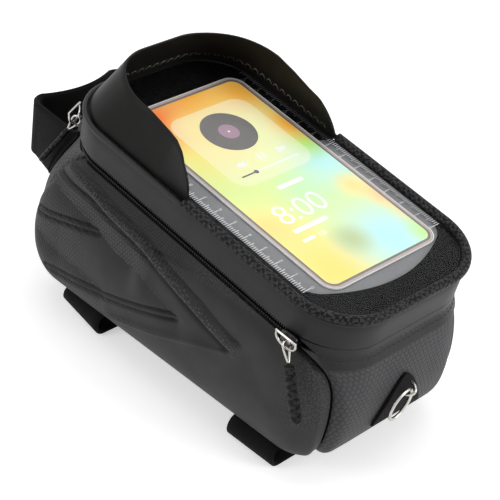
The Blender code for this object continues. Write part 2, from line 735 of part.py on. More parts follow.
strap_rows = []
for part in spread(0, 1, 6):
    height = HEAD_STRAP_LEVEL + HEAD_STRAP_HEIGHT * (part - 0.5)
    back = []
    for x in spread(HEAD_STRAP_SPAN / 2, -HEAD_STRAP_SPAN / 2, 10):
        share = -x * SHARE_PER_METRE
        back.append(shell(share, level_at(share, height)) + Vector((0, 2.4 * FABRIC_GAP, 0)))
    neck = HEAD_STRAP_SPAN / 2 - HEAD_STRAP_TAPER - HEAD_STRAP_BEND
    ahead = HEAD_STRAP_FRONT - HEAD_STRAP_BEND
    right = [Vector((neck + HEAD_STRAP_BEND * math.cos(turn), ahead + HEAD_STRAP_BEND * math.sin(turn),
                     height)) for turn in spread(0, math.pi / 2, 5)]
    run = [back[-1].lerp(Vector((-right[0].x, right[0].y, height)), share)
           for share in (0.12, 0.35, 0.6, 0.85)]
    left = [Vector((-spot.x, spot.y, height)) for spot in right]
    path = back + run + left
    path += [Vector((x, HEAD_STRAP_FRONT - HEAD_STRAP_DIP * (1 - (x / neck) ** 2), height))
             for x in spread(-neck, neck, 6)[1:-1]]
    path += right[::-1] + [Vector((-spot.x, spot.y, spot.z)) for spot in run[::-1]]
    strap_rows.append(path[::-1])
front_strap = thick_sheet("front_strap", strap_rows, HEAD_STRAP_THICK, fabric_black, wrap=True)

# Zip sliders: a blade each side of the teeth, joined by a web between them, with a bail


def make_slider(name, origin, along, out, pivot):
    up = LID_UP
    outer = RUNNING_GAP
    inner = BAND_THICK + TAPE_THICK + 2 * SEAM_GAP + 2 * RUNNING_GAP
    stations = []
    for place, height in ((-0.5, 0.62), (-0.4, 0.84), (-0.1, 0.96), (0.25, 1.0), (0.42, 0.86),
                          (0.5, 0.66)):
        half = BLADE_HEIGHT / 2 * height
        web = WEB_THICK / 2
        section = [(outer + BLADE_THICK, -half), (outer + BLADE_THICK, half), (outer, half),
                   (outer, web), (-inner, web), (-inner, half * 0.8),
                   (-inner - BLADE_THICK, half * 0.8), (-inner - BLADE_THICK, -half * 0.8),
                   (-inner, -half * 0.8), (-inner, -web), (outer, -web), (outer, -half)]
        stations.append([origin + along * place * SLIDER_LENGTH + out * x + up * z
                         for x, z in section])
    slider = skin(name, stations, metal_silver, pivot=pivot)
    face = outer + BLADE_THICK
    path = [origin + along * BAIL_LENGTH / 2 * x + out * (face - 0.4 * MM + (BAIL_RISE + 0.4 * MM) * z)
            for x, z in ((-0.86, 0.0), (-0.84, 0.45), (-0.68, 0.85), (-0.38, 1.0), (0.0, 1.0),
                         (0.38, 1.0), (0.68, 0.85), (0.84, 0.45), (0.86, 0.0))]
    bail = tube(name + "_bail", path, BAIL_WIRE / 2, metal_silver)
    join(slider, bail)
    return origin + out * (face + BAIL_RISE)


def make_pull(prefix, bar, along, out, lean, swing):
    # Wire loop round the bail and the moulded tab on it, both hanging from the bail's bar
    up = LID_UP
    down = (-up * math.cos(lean) - along * math.sin(lean)).normalized()
    away = (out - down * out.dot(down)).normalized()
    turn = Matrix.Rotation(swing, 3, down.cross(away))
    down = turn @ down
    away = turn @ away
    side = down.cross(away)
    path = [bar + down * -LINK_RADIUS * math.cos(angle) + away * LINK_RADIUS * math.sin(angle)
            for angle in spread(-math.pi / 2, math.pi / 2, 6)]
    path += [bar + down * LINK_LENGTH * part + away * LINK_RADIUS * width
             for part, width in ((0.4, 0.75), (0.85, 0.3), (1.0, 0.0), (0.85, -0.3), (0.4, -0.75))]
    link = tube(prefix + "_pull_link", path, LINK_WIRE / 2, metal_silver, closed=True, sides=6,
                pivot=bar)
    start = LINK_LENGTH + LINK_WIRE / 2 + SEAM_GAP
    stations = []
    for place, half in ((0.0, 0.55), (0.04, 0.85), (0.12, 1.0), (0.5, 0.9), (0.88, 1.0),
                        (0.97, 0.8), (1.0, 0.45)):
        middle = bar + down * (start + PULL_LENGTH * place)
        wide = side * PULL_WIDTH / 2 * half
        thick = away * PULL_THICK / 2 * (0.6 + 0.4 * half)
        stations.append([middle - wide - thick * 0.5, middle - wide * 0.6 - thick,
                         middle + wide * 0.6 - thick, middle + wide - thick * 0.5,
                         middle + wide + thick * 0.5, middle + wide * 0.6 + thick,
                         middle - wide * 0.6 + thick, middle - wide + thick * 0.5])
    skin(prefix + "_pull_tab", stations, rubber_black, pivot=bar)


def side_frame(share):
    spot, out = outline(share, LID_WIDTH, LID_LENGTH, LID_CORNER)
    spot = spot - out * PIPING_PROUD
    spot.z = -ZIP_DEPTH
    out = LID_TURN @ out
    return lid_place(spot), out, LID_UP.cross(out)


rear_spot, rear_out, rear_along = side_frame(side_share(REAR_SLIDER_Y))
rear_bar = make_slider("rear_slider", rear_spot, rear_along, rear_out, rear_spot)
make_pull("rear", rear_bar, rear_along, rear_out, REAR_PULL_LEAN, REAR_PULL_SWING)

flat_y = LID_LENGTH / 2 - LID_CORNER
strap_reach = HEAD_STRAP_SPAN / 2 - FRONT_SLIDER_PAST - LID_WIDTH / 2 + LID_CORNER
front_turn = math.acos(min(max(strap_reach / LID_CORNER, 0.0), 1.0))
front_share = side_share(flat_y + LID_CORNER * front_turn)
front_spot, front_out, front_along = side_frame(front_share)
corner_axis = lid_place((-LID_WIDTH / 2 + LID_CORNER, flat_y, -ZIP_DEPTH))
front_bar = make_slider("front_slider", front_spot, front_along, front_out, corner_axis)
make_pull("front", front_bar, front_along, front_out, FRONT_PULL_LEAN, FRONT_PULL_SWING)
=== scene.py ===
import json
import math

import bmesh
import bpy
from mathutils import Matrix, Vector


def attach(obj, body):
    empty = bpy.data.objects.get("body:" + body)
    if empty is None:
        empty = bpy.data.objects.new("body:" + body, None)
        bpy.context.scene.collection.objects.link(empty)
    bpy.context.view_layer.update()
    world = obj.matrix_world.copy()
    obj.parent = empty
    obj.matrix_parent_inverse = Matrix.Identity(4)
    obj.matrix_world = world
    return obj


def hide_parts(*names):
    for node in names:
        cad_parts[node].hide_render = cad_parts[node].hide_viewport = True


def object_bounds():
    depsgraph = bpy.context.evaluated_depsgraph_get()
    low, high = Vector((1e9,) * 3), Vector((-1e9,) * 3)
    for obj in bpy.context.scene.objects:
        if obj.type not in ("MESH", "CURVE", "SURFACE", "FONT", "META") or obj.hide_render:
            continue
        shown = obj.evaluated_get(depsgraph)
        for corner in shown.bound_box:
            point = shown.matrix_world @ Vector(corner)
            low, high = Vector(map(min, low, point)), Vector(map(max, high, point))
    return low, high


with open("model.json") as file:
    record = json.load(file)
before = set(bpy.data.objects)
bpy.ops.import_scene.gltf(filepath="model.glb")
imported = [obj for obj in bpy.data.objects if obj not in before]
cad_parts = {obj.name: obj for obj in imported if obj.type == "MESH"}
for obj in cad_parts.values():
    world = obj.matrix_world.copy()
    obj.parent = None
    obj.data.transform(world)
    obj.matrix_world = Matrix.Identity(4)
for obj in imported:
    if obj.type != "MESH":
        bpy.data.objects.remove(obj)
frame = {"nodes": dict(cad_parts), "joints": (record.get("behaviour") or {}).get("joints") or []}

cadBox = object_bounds()
mm = 0.001
scene = bpy.context.scene
scene.view_settings.view_transform = "Standard"

# the sizes below repeat the model's own, in millimetres
lid = {"width": 109.0, "length": 194.0, "corner": 32.0, "tilt": 8.0, "height": 94.0, "shift": -9.5,
       "bandThick": 3.4, "bandBottom": 16.4, "proud": 1.8, "filmEdge": 5.25}
body = {"width": 106.0, "length": 195.0, "corner": 20.0, "rimDepth": 21.8, "rimInset": 0.8,
        "thick": 2.2, "sideSwell": 5.2, "frontSwell": 8.5, "frontFacing": 0.86, "underReach": 11.0}
lidTurn = Matrix.Rotation(math.radians(lid["tilt"]), 3, "X")
lidCentre = Vector((0, lid["shift"], lid["height"])) * mm
lidUp = lidTurn @ Vector((0, 0, 1))


# camera, light and floor

camera = {"place": (-0.51292, -0.43105, 0.5), "turn": (55.6837, -7.1263, -45.2336), "lens": 119.17}
bpy.ops.object.camera_add(location=camera["place"],
                          rotation=[math.radians(angle) for angle in camera["turn"]])
scene.camera = bpy.context.object
scene.camera.data.lens = camera["lens"]
scene.camera.data.sensor_width = 36

lamps = {"overhead": {"place": (0.1, 0.1, 0.9), "size": 0.8, "power": 3.2},
         "leftFront": {"place": (-0.85, 0.3, 0.45), "size": 0.4, "power": 2.6},
         "rearRight": {"place": (0.35, -0.95, 0.5), "size": 0.5, "power": 4.4}}
for name, lamp in lamps.items():
    bpy.ops.object.light_add(type="AREA", location=lamp["place"])
    light = bpy.context.object
    light.name = name
    light.data.size = lamp["size"]
    light.data.energy = lamp["power"]
    light.rotation_euler = (-Vector(lamp["place"])).to_track_quat("-Z", "Y").to_euler()


def addNode(tree, kind, **values):
    node = tree.nodes.new(kind)
    for key, value in values.items():
        if hasattr(node, key):
            setattr(node, key, value)
        else:
            node.inputs[key.replace("_", " ")].default_value = value
    return node


def calc(tree, operation, first, second=None, third=None):
    node = tree.nodes.new("ShaderNodeMath")
    node.operation = operation
    for place, value in enumerate((first, second, third)):
        if value is None:
            continue
        if isinstance(value, (int, float)):
            node.inputs[place].default_value = value
        else:
            tree.links.new(value, node.inputs[place])
    return node.outputs[0]


def vectorCalc(tree, operation, first, *others):
    node = tree.nodes.new("ShaderNodeVectorMath")
    node.operation = operation
    for place, value in enumerate((first, *others)):
        if isinstance(value, (tuple, list)):
            node.inputs[place].default_value = value
        else:
            tree.links.new(value, node.inputs[place])
    return node


def blendColours(tree, factor, first, second):
    node = tree.nodes.new("ShaderNodeMix")
    node.data_type = "RGBA"
    for socket, value in ((node.inputs[0], factor), (node.inputs[6], first), (node.inputs[7], second)):
        if isinstance(value, (int, float)):
            socket.default_value = value
        elif isinstance(value, (tuple, list)):
            socket.default_value = (*value, 1.0)
        else:
            tree.links.new(value, socket)
    return node.outputs[2]


def mapRange(tree, value, fromLow, fromHigh, toLow=0.0, toHigh=1.0):
    node = addNode(tree, "ShaderNodeMapRange", interpolation_type="SMOOTHSTEP")
    tree.links.new(value, node.inputs["Value"])
    for name, number in (("From Min", fromLow), ("From Max", fromHigh),
                         ("To Min", toLow), ("To Max", toHigh)):
        node.inputs[name].default_value = number
    return node.outputs["Result"]


def newGroup(name, inputs, outputs):
    group = bpy.data.node_groups.new(name, "ShaderNodeTree")
    for label, kind, value in inputs:
        socket = group.interface.new_socket(label, in_out="INPUT", socket_type=kind)
        if value is not None:
            socket.default_value = value
    for label in outputs:
        group.interface.new_socket(label, in_out="OUTPUT", socket_type="NodeSocketFloat")
    return group, group.nodes.new("NodeGroupInput"), group.nodes.new("NodeGroupOutput")


def seenStrength(tree, bounced, gain):
    # one strength for bounced light, a higher one where the place itself is seen
    path = tree.nodes.new("ShaderNodeLightPath")
    seen = calc(tree, "MAXIMUM", path.outputs["Is Camera Ray"], path.outputs["Is Transmission Ray"])
    seen = calc(tree, "MAXIMUM", seen, path.outputs["Is Glossy Ray"])
    return calc(tree, "MULTIPLY_ADD", seen, gain, bounced)


studio = {"bounced": 0.34, "gain": 0.66, "floorSize": 6, "floorGlow": 0.5, "floorGrey": 0.9}
scene.world = bpy.data.worlds.new("studio")
scene.world.use_nodes = True
tree = scene.world.node_tree
backdrop = tree.nodes["Background"]
backdrop.inputs["Color"].default_value = (1, 1, 1, 1)
tree.links.new(seenStrength(tree, studio["bounced"], studio["gain"]), backdrop.inputs["Strength"])

bpy.ops.mesh.primitive_plane_add(size=studio["floorSize"], location=(0, 0, cadBox[0][2]))
floor = bpy.context.object
floor.name = "floor"
floorPaint = bpy.data.materials.new("floorPaint")
floorPaint.use_nodes = True
tree = floorPaint.node_tree
paint = tree.nodes["Principled BSDF"]
paint.inputs["Base Color"].default_value = (*[studio["floorGrey"]] * 3, 1)
paint.inputs["Roughness"].default_value = 0.9
paint.inputs["Emission Color"].default_value = (1, 1, 1, 1)
tree.links.new(seenStrength(tree, 0.0, studio["floorGlow"]), paint.inputs["Emission Strength"])
floor.data.materials.append(floorPaint)
print("camera, light and floor are set")


# effects that several materials share

def hexCellsGroup():
    # six-sided embossed cells; the pattern is in millimetres
    group, start, end = newGroup("hexCells", [("Vector", "NodeSocketVector", None),
                                              ("Pitch", "NodeSocketFloat", 2.0)], ["Height"])
    size = addNode(group, "ShaderNodeCombineXYZ")
    for place in range(3):
        group.links.new(start.outputs["Pitch"], size.inputs[place])
    point = vectorCalc(group, "DIVIDE", start.outputs["Vector"], size.outputs[0]).outputs[0]
    rise = math.sqrt(0.75)
    half, low = (0.5, rise, 0.5), (-0.5, -rise, -0.5)
    first = vectorCalc(group, "WRAP", point, half, low).outputs[0]
    moved = vectorCalc(group, "SUBTRACT", point, half).outputs[0]
    second = vectorCalc(group, "WRAP", moved, half, low).outputs[0]
    flat = [vectorCalc(group, "MULTIPLY", corner, (1, 1, 0)).outputs[0] for corner in (first, second)]
    lengths = [vectorCalc(group, "LENGTH", corner).outputs["Value"] for corner in flat]
    nearer = calc(group, "LESS_THAN", lengths[0], lengths[1])
    pick = group.nodes.new("ShaderNodeMix")
    pick.data_type = "VECTOR"
    group.links.new(nearer, pick.inputs[0])
    group.links.new(flat[1], pick.inputs[4])
    group.links.new(flat[0], pick.inputs[5])
    away = addNode(group, "ShaderNodeSeparateXYZ")
    group.links.new(vectorCalc(group, "ABSOLUTE", pick.outputs[1]).outputs[0], away.inputs[0])
    slant = calc(group, "MULTIPLY_ADD", away.outputs[1], rise, calc(group, "MULTIPLY", away.outputs[0], 0.5))
    edge = calc(group, "MULTIPLY", calc(group, "MAXIMUM", away.outputs[0], slant), 2.0)
    group.links.new(mapRange(group, edge, 0.45, 1.0, 1.0, 0.0), end.inputs["Height"])
    return group


def clothGroup():
    # crossing threads with a slight unevenness; the pattern is in millimetres
    group, start, end = newGroup("clothThreads", [("Vector", "NodeSocketVector", None),
                                                  ("Pitch", "NodeSocketFloat", 0.8),
                                                  ("Slant", "NodeSocketFloat", 0.0)], ["Height", "Tone"])
    parts = addNode(group, "ShaderNodeSeparateXYZ")
    group.links.new(start.outputs["Vector"], parts.inputs[0])
    turned = calc(group, "MULTIPLY_ADD", parts.outputs[1], start.outputs["Slant"], parts.outputs[0])
    waves = []
    for side in (turned, parts.outputs[1]):
        share = calc(group, "DIVIDE", side, start.outputs["Pitch"])
        waves.append(calc(group, "SINE", calc(group, "MULTIPLY", share, math.tau)))
    noise = addNode(group, "ShaderNodeTexNoise", Scale=2.2, Detail=3.0)
    group.links.new(start.outputs["Vector"], noise.inputs["Vector"])
    woven = calc(group, "MULTIPLY", waves[0], waves[1])
    height = calc(group, "MULTIPLY_ADD", woven, 0.5, 0.5)
    height = calc(group, "MULTIPLY_ADD", noise.outputs["Fac"], 0.5, height)
    group.links.new(height, end.inputs["Height"])
    group.links.new(calc(group, "MULTIPLY_ADD", noise.outputs["Fac"], 0.6, 0.7), end.inputs["Tone"])
    return group


def grainGroup():
    # fine irregular grain with broad cloudy changes; the pattern is in millimetres
    group, start, end = newGroup("skinGrain", [("Vector", "NodeSocketVector", None),
                                               ("Fineness", "NodeSocketFloat", 1.5)], ["Height", "Cloud"])
    fine = addNode(group, "ShaderNodeTexNoise", Detail=4.0, Roughness=0.7)
    broad = addNode(group, "ShaderNodeTexNoise", Scale=0.06, Detail=2.0)
    group.links.new(start.outputs["Vector"], fine.inputs["Vector"])
    group.links.new(start.outputs["Fineness"], fine.inputs["Scale"])
    group.links.new(start.outputs["Vector"], broad.inputs["Vector"])
    group.links.new(fine.outputs["Fac"], end.inputs["Height"])
    group.links.new(broad.outputs["Fac"], end.inputs["Cloud"])
    return group


hexCells = hexCellsGroup()
clothThreads = clothGroup()
skinGrain = grainGroup()


def useGroup(tree, group, **values):
    node = tree.nodes.new("ShaderNodeGroup")
    node.node_tree = group
    for name, value in values.items():
        if isinstance(value, (int, float)):
            node.inputs[name].default_value = value
        else:
            tree.links.new(value, node.inputs[name])
    return node


def startMaterial(name, colour, roughness, metallic=0.0, sheen=0.0, coat=0.0, level=0.5):
    material = bpy.data.materials.new(name)
    material.use_nodes = True
    shader = material.node_tree.nodes["Principled BSDF"]
    shader.inputs["Base Color"].default_value = (*colour, 1)
    shader.inputs["Roughness"].default_value = roughness
    shader.inputs["Metallic"].default_value = metallic
    shader.inputs["Sheen Weight"].default_value = sheen
    shader.inputs["Coat Weight"].default_value = coat
    shader.inputs["Specular IOR Level"].default_value = level
    return material, material.node_tree, shader


def surfaceMillimetres(tree, own=True):
    # a piece's own map, or its place in the model, in millimetres
    coordinates = tree.nodes.new("ShaderNodeTexCoord")
    scaled = tree.nodes.new("ShaderNodeVectorMath")
    scaled.operation = "SCALE"
    scaled.inputs["Scale"].default_value = 1000
    tree.links.new(coordinates.outputs["UV" if own else "Object"], scaled.inputs[0])
    return scaled.outputs[0]


def addBump(tree, shader, height, distance, strength=1.0, under=None):
    bump = tree.nodes.new("ShaderNodeBump")
    bump.inputs["Strength"].default_value = strength
    bump.inputs["Distance"].default_value = distance * mm
    tree.links.new(height, bump.inputs["Height"])
    if under is not None:
        tree.links.new(under, bump.inputs["Normal"])
    tree.links.new(bump.outputs[0], shader.inputs["Normal"])
    return bump.outputs[0]


def readMask(tree, name):
    mask = tree.nodes.new("ShaderNodeAttribute")
    mask.attribute_name = name
    return mask.outputs["Fac"]


def embossedFabric(name, dark, light, pitch, depth, masked=False):
    # laminated fabric with pressed six-sided cells over a fine grain
    material, tree, shader = startMaterial(name, dark, 0.5, sheen=0.03, level=0.2)
    place = surfaceMillimetres(tree)
    cells = useGroup(tree, hexCells, Vector=place, Pitch=pitch)
    grain = useGroup(tree, skinGrain, Vector=place, Fineness=2.4)
    height = cells.outputs["Height"]
    tint = calc(tree, "MULTIPLY", grain.outputs["Cloud"], 0.55)
    if masked:  # the panel's own masks say where cells and rough places lie, and where painted shade darkens grooves and the strip under the band
        coarse = useGroup(tree, skinGrain, Vector=place, Fineness=1.15)
        height = calc(tree, "MULTIPLY", height, readMask(tree, "cells"))
        specks = mapRange(tree, coarse.outputs["Height"], 0.47, 0.6)
        specks = calc(tree, "MULTIPLY", specks, readMask(tree, "rough"))
    tone = blendColours(tree, calc(tree, "MULTIPLY_ADD", height, 0.45, tint), dark, light)
    if masked:
        # painted shade: the colour goes towards near-black where the paintedShade mask says shade falls
        shade = calc(tree, "MULTIPLY", readMask(tree, "paintedShade"), 0.75)
        tone = blendColours(tree, shade, tone, (0.005, 0.005, 0.005))
        tone = blendColours(tree, calc(tree, "MULTIPLY", specks, 0.7), tone, (0.2, 0.2, 0.2))
        height = calc(tree, "MULTIPLY_ADD", specks, 1.2, height)
    tree.links.new(tone, shader.inputs["Base Color"])
    tree.links.new(mapRange(tree, grain.outputs["Height"], 0.2, 0.8, 0.45, 0.68),
                   shader.inputs["Roughness"])
    fine = addBump(tree, shader, grain.outputs["Height"], 0.12, 0.7)
    addBump(tree, shader, height, depth, 0.9, fine)
    return material


def clothMaterial(name, dark, light, pitch, slant, depth, roughness, sheen=0.2, level=0.15):
    material, tree, shader = startMaterial(name, dark, roughness, sheen=sheen, level=level)
    place = surfaceMillimetres(tree)
    threads = useGroup(tree, clothThreads, Vector=place, Pitch=pitch, Slant=slant)
    grain = useGroup(tree, skinGrain, Vector=place, Fineness=1.2)
    factor = calc(tree, "MULTIPLY", threads.outputs["Height"], grain.outputs["Cloud"])
    tree.links.new(blendColours(tree, factor, dark, light), shader.inputs["Base Color"])
    tree.links.new(mapRange(tree, threads.outputs["Tone"], 0.7, 1.3, roughness - 0.1, roughness + 0.1),
                   shader.inputs["Roughness"])
    addBump(tree, shader, threads.outputs["Height"], depth)
    return material


def carbonMaterial(name, dark, light, pitch, depth):
    # small uneven checks whose threads run two ways, on binding and rubber pulls
    material, tree, shader = startMaterial(name, dark, 0.42, coat=0.02, level=0.1)
    place = surfaceMillimetres(tree)
    wobble = addNode(tree, "ShaderNodeTexNoise", Scale=0.45, Detail=1.0)
    tree.links.new(place, wobble.inputs["Vector"])
    moved = vectorCalc(tree, "MULTIPLY_ADD", wobble.outputs["Color"], (4.2, 4.2, 0.0), place).outputs[0]
    checks = addNode(tree, "ShaderNodeTexChecker", Scale=1.0 / pitch)
    tree.links.new(moved, checks.inputs["Vector"])
    grain = useGroup(tree, skinGrain, Vector=place, Fineness=1.3)
    mask = mapRange(tree, grain.outputs["Height"], 0.3, 0.7, 0.3, 1.0)
    mask = calc(tree, "MULTIPLY", checks.outputs["Fac"], mask)
    tree.links.new(blendColours(tree, mask, dark, light), shader.inputs["Base Color"])
    tree.links.new(calc(tree, "MULTIPLY_ADD", mask, -0.2, 0.52), shader.inputs["Roughness"])
    height = calc(tree, "MULTIPLY_ADD", grain.outputs["Height"], 0.6, checks.outputs["Fac"])
    addBump(tree, shader, height, depth)
    return material


def grainedMaterial(name, dark, light, roughness, fineness, depth, metallic=0.0, sheen=0.0, coat=0.0,
                    own=False, level=0.5):
    material, tree, shader = startMaterial(name, dark, roughness, metallic, sheen, coat, level)
    grain = useGroup(tree, skinGrain, Vector=surfaceMillimetres(tree, own), Fineness=fineness)
    tree.links.new(blendColours(tree, grain.outputs["Cloud"], dark, light), shader.inputs["Base Color"])
    tree.links.new(mapRange(tree, grain.outputs["Height"], 0.25, 0.75, roughness - 0.08, roughness + 0.08),
                   shader.inputs["Roughness"])
    addBump(tree, shader, grain.outputs["Height"], depth, 0.6)
    return material


sideFabric = embossedFabric("sideFabric", (0.014, 0.014, 0.0145), (0.078, 0.078, 0.08), 1.9, 0.3, True)
rearFabric = embossedFabric("rearFabric", (0.032, 0.032, 0.034), (0.082, 0.082, 0.086), 2.7, 0.28)
bandFabric = clothMaterial("bandFabric", (0.009, 0.009, 0.0095), (0.033, 0.033, 0.034), 0.75, 0.9, 0.06,
                           0.42, 0.02, 0.2)
strapWebbing = clothMaterial("strapWebbing", (0.003, 0.003, 0.003), (0.011, 0.011, 0.0115), 1.1, 0.0, 0.2,
                             0.85, 0.05, 0.1)
baseFabric = clothMaterial("baseFabric", (0.007, 0.007, 0.007), (0.024, 0.024, 0.025), 1.3, 0.4, 0.2, 0.8, 0.05)
tapeFabric = clothMaterial("tapeFabric", (0.002, 0.002, 0.002), (0.008, 0.008, 0.008), 0.7, 0.5, 0.1,
                           0.85, 0.02, 0.1)
carbonBinding = carbonMaterial("carbonBinding", (0.004, 0.004, 0.0045), (0.055, 0.055, 0.057), 1.7, 0.25)
carbonRubber = carbonMaterial("carbonRubber", (0.0015, 0.0015, 0.0016), (0.03, 0.03, 0.031), 1.9, 0.3)
visorSkin = grainedMaterial("visorSkin", (0.0095, 0.0093, 0.009), (0.014, 0.0137, 0.013), 0.4, 2.5, 0.03,
                            level=0.08)
paleThread = grainedMaterial("paleThread", (0.12, 0.12, 0.12), (0.26, 0.26, 0.26), 0.6, 3.0, 0.05, level=0.3)
darkMetal = grainedMaterial("darkMetal", (0.03, 0.03, 0.031), (0.07, 0.07, 0.072), 0.34, 1.5, 0.03,
                            metallic=1.0)
borderPrint = grainedMaterial("borderPrint", (0.003, 0.003, 0.003), (0.01, 0.01, 0.01), 0.3, 0.4, 0.03,
                              level=0.05)
pocketPlastic = grainedMaterial("pocketPlastic", (0.2, 0.2, 0.205), (0.27, 0.27, 0.28), 0.4, 0.5, 0.05)
darkThread = grainedMaterial("darkThread", (0.016, 0.016, 0.016), (0.06, 0.06, 0.06), 0.7, 3.0, 0.05, sheen=0.1,
                             level=0.2)
zipPlastic = grainedMaterial("zipPlastic", (0.004, 0.004, 0.004), (0.012, 0.012, 0.012), 0.45, 2.0, 0.05,
                             level=0.25)
brightMetal = grainedMaterial("brightMetal", (0.42, 0.4, 0.37), (0.62, 0.6, 0.57), 0.22, 1.5, 0.03,
                              metallic=1.0)
whitePrint = grainedMaterial("whitePrint", (0.8, 0.8, 0.8), (0.9, 0.9, 0.9), 0.5, 1.0, 0.01)
print("fabrics and plastics are ready")


# forms of the lid and the body

def outlineAt(share, width, length, corner):
    # point and outward direction on a rounded rectangle; 0 is its front middle, 0.25 its left
    flatX, flatY, bend = width / 2 - corner, length / 2 - corner, corner * math.pi / 2
    perimeter = 4 * (flatX + flatY + bend)
    share %= 1.0
    flip = -1 if share > 0.5 else 1
    run = (1 - share if share > 0.5 else share) * perimeter
    if run <= flatX:
        spot, out = Vector((-run, length / 2, 0)), Vector((0, 1, 0))
    elif run <= flatX + bend:
        turn = (run - flatX) / corner
        out = Vector((-math.sin(turn), math.cos(turn), 0))
        spot = Vector((-flatX, flatY, 0)) + out * corner
    elif run <= flatX + bend + 2 * flatY:
        spot, out = Vector((-width / 2, flatY - (run - flatX - bend), 0)), Vector((-1, 0, 0))
    elif run <= flatX + 2 * bend + 2 * flatY:
        turn = (run - flatX - bend - 2 * flatY) / corner
        out = Vector((-math.cos(turn), -math.sin(turn), 0))
        spot = Vector((-flatX, -flatY, 0)) + out * corner
    else:
        spot, out = Vector((run - perimeter / 2, -length / 2, 0)), Vector((0, -1, 0))
    spot.x *= flip
    out.x *= flip
    return spot, out


def lidOutline(share):
    return outlineAt(share, lid["width"], lid["length"], lid["corner"])


def bodyOutline(share):
    return outlineAt(share, body["width"], body["length"], body["corner"])


def lidPlace(spot):
    return lidCentre + lidTurn @ (Vector(spot) * mm)


def lidEdge(share, inset, z):
    spot, out = lidOutline(share)
    spot -= out * inset
    spot.z = z
    return lidPlace(spot)


def sideShare(y):
    flatX, flatY = lid["width"] / 2 - lid["corner"], lid["length"] / 2 - lid["corner"]
    bend = lid["corner"] * math.pi / 2
    return (flatX + bend + flatY - y) / (4 * (flatX + flatY + bend))


def between(start, end, count):
    return [start + (end - start) * index / count for index in range(count + 1)]


def bell(away, half):
    return math.exp(-(away / half) ** 2)


def ramp(value, low, high):
    part = min(max((value - low) / (high - low), 0.0), 1.0)
    return part * part * (3 - 2 * part)


def smoothValue(knots, share):
    place = min(max(share, 0.0), 1.0) * (len(knots) - 1)
    index = min(int(place), len(knots) - 2)
    part = place - index
    start, end = knots[index], knots[index + 1]
    before = knots[index - 1] if index else 2 * start - end
    after = knots[index + 2] if index + 2 < len(knots) else 2 * end - start
    return (start * 2 + (end - before) * part + (before * 2 - start * 5 + end * 4 - after) * part ** 2
            + (start * 3 - before - end * 3 + after) * part ** 3) * 0.5


swellOut = (-2.4, -1.3, -0.15, 0.6, 0.95, 1.0, 0.85, 0.5, 0.0)
swellUp = (0.0, 0.005, 0.07, 0.2, 0.37, 0.53, 0.7, 0.86, 1.0)
frontExtra = (0.2, 0.5, 0.72, 0.88, 0.97, 1.0, 0.96, 0.8, 0.52, 0.22, 0.0)


def shellAt(share, level):
    low, lowOut = bodyOutline(share)
    high, highOut = outlineAt(share, lid["width"] - 2 * lid["proud"], lid["length"] - 2 * lid["proud"],
                              lid["corner"] - lid["proud"])
    high = lidPlace(high - highOut * body["rimInset"] - Vector((0, 0, body["rimDepth"])))
    out, up = smoothValue(swellOut, level), smoothValue(swellUp, level)
    away = lowOut.lerp(highOut, up).normalized()
    swell = out * (body["underReach"] / -swellOut[0] if out < 0 else body["sideSwell"])
    swell += ramp(away.y, 0.0, body["frontFacing"]) * body["frontSwell"] * smoothValue(frontExtra, up)
    spot = (low * mm).lerp(high, up) + away * swell * mm
    if level > 1:
        spot += lidUp * (level - 1) * body["rimDepth"] * mm
    return spot


def shellNormal(share, level):
    reach = 0.002
    ahead = shellAt(share + reach, level) - shellAt(share - reach, level)
    level = min(max(level, reach), 1.3)
    return ahead.cross(shellAt(share, level + reach) - shellAt(share, level - reach)).normalized()


def levelAt(share, height, start=0.3):
    low, high = start, 1.0
    for _ in range(20):
        middle = (low + high) / 2
        if shellAt(share, middle).z < height * mm:
            low = middle
        else:
            high = middle
    return (low + high) / 2


# builders

def selectOnly(piece):
    bpy.ops.object.select_all(action="DESELECT")
    piece.select_set(True)
    bpy.context.view_layer.objects.active = piece


def newPiece(name, mesh):
    piece = bpy.data.objects.new(name, mesh)
    scene.collection.objects.link(piece)
    return piece


def turnFacesOut(mesh):
    shape = bmesh.new()
    shape.from_mesh(mesh)
    bmesh.ops.recalc_face_normals(shape, faces=shape.faces)
    shape.to_mesh(mesh)
    shape.free()


def addBox(width, length, height):
    bpy.ops.mesh.primitive_cube_add(size=1)
    box = bpy.context.object
    box.scale = (width * mm, length * mm, height * mm)
    bpy.ops.object.transform_apply(location=True, rotation=True, scale=True)
    return box


def bevelAll(width, segments):
    bpy.ops.object.mode_set(mode="EDIT")
    bpy.ops.mesh.select_all(action="SELECT")
    bpy.ops.mesh.bevel(offset=width * mm, segments=segments)
    bpy.ops.object.mode_set(mode="OBJECT")


def finishPiece(piece, material, rides, replaced=(), smooth=40):
    piece.data.materials.append(material)
    selectOnly(piece)
    bpy.ops.object.shade_smooth_by_angle(angle=math.radians(smooth))
    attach(piece, rides)
    if replaced:
        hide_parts(*replaced)
    return piece


def addPiece(name, points, faces, maps, material, rides, replaced=(), smooth=40):
    mesh = bpy.data.meshes.new(name)
    mesh.from_pydata([tuple(point) for point in points], [], faces)
    layer = mesh.uv_layers.new(name="UVMap")
    layer.data.foreach_set("uv", [value for corners in maps for corner in corners for value in corner])
    mesh.update()
    turnFacesOut(mesh)
    return finishPiece(newPiece(name, mesh), material, rides, replaced, smooth)


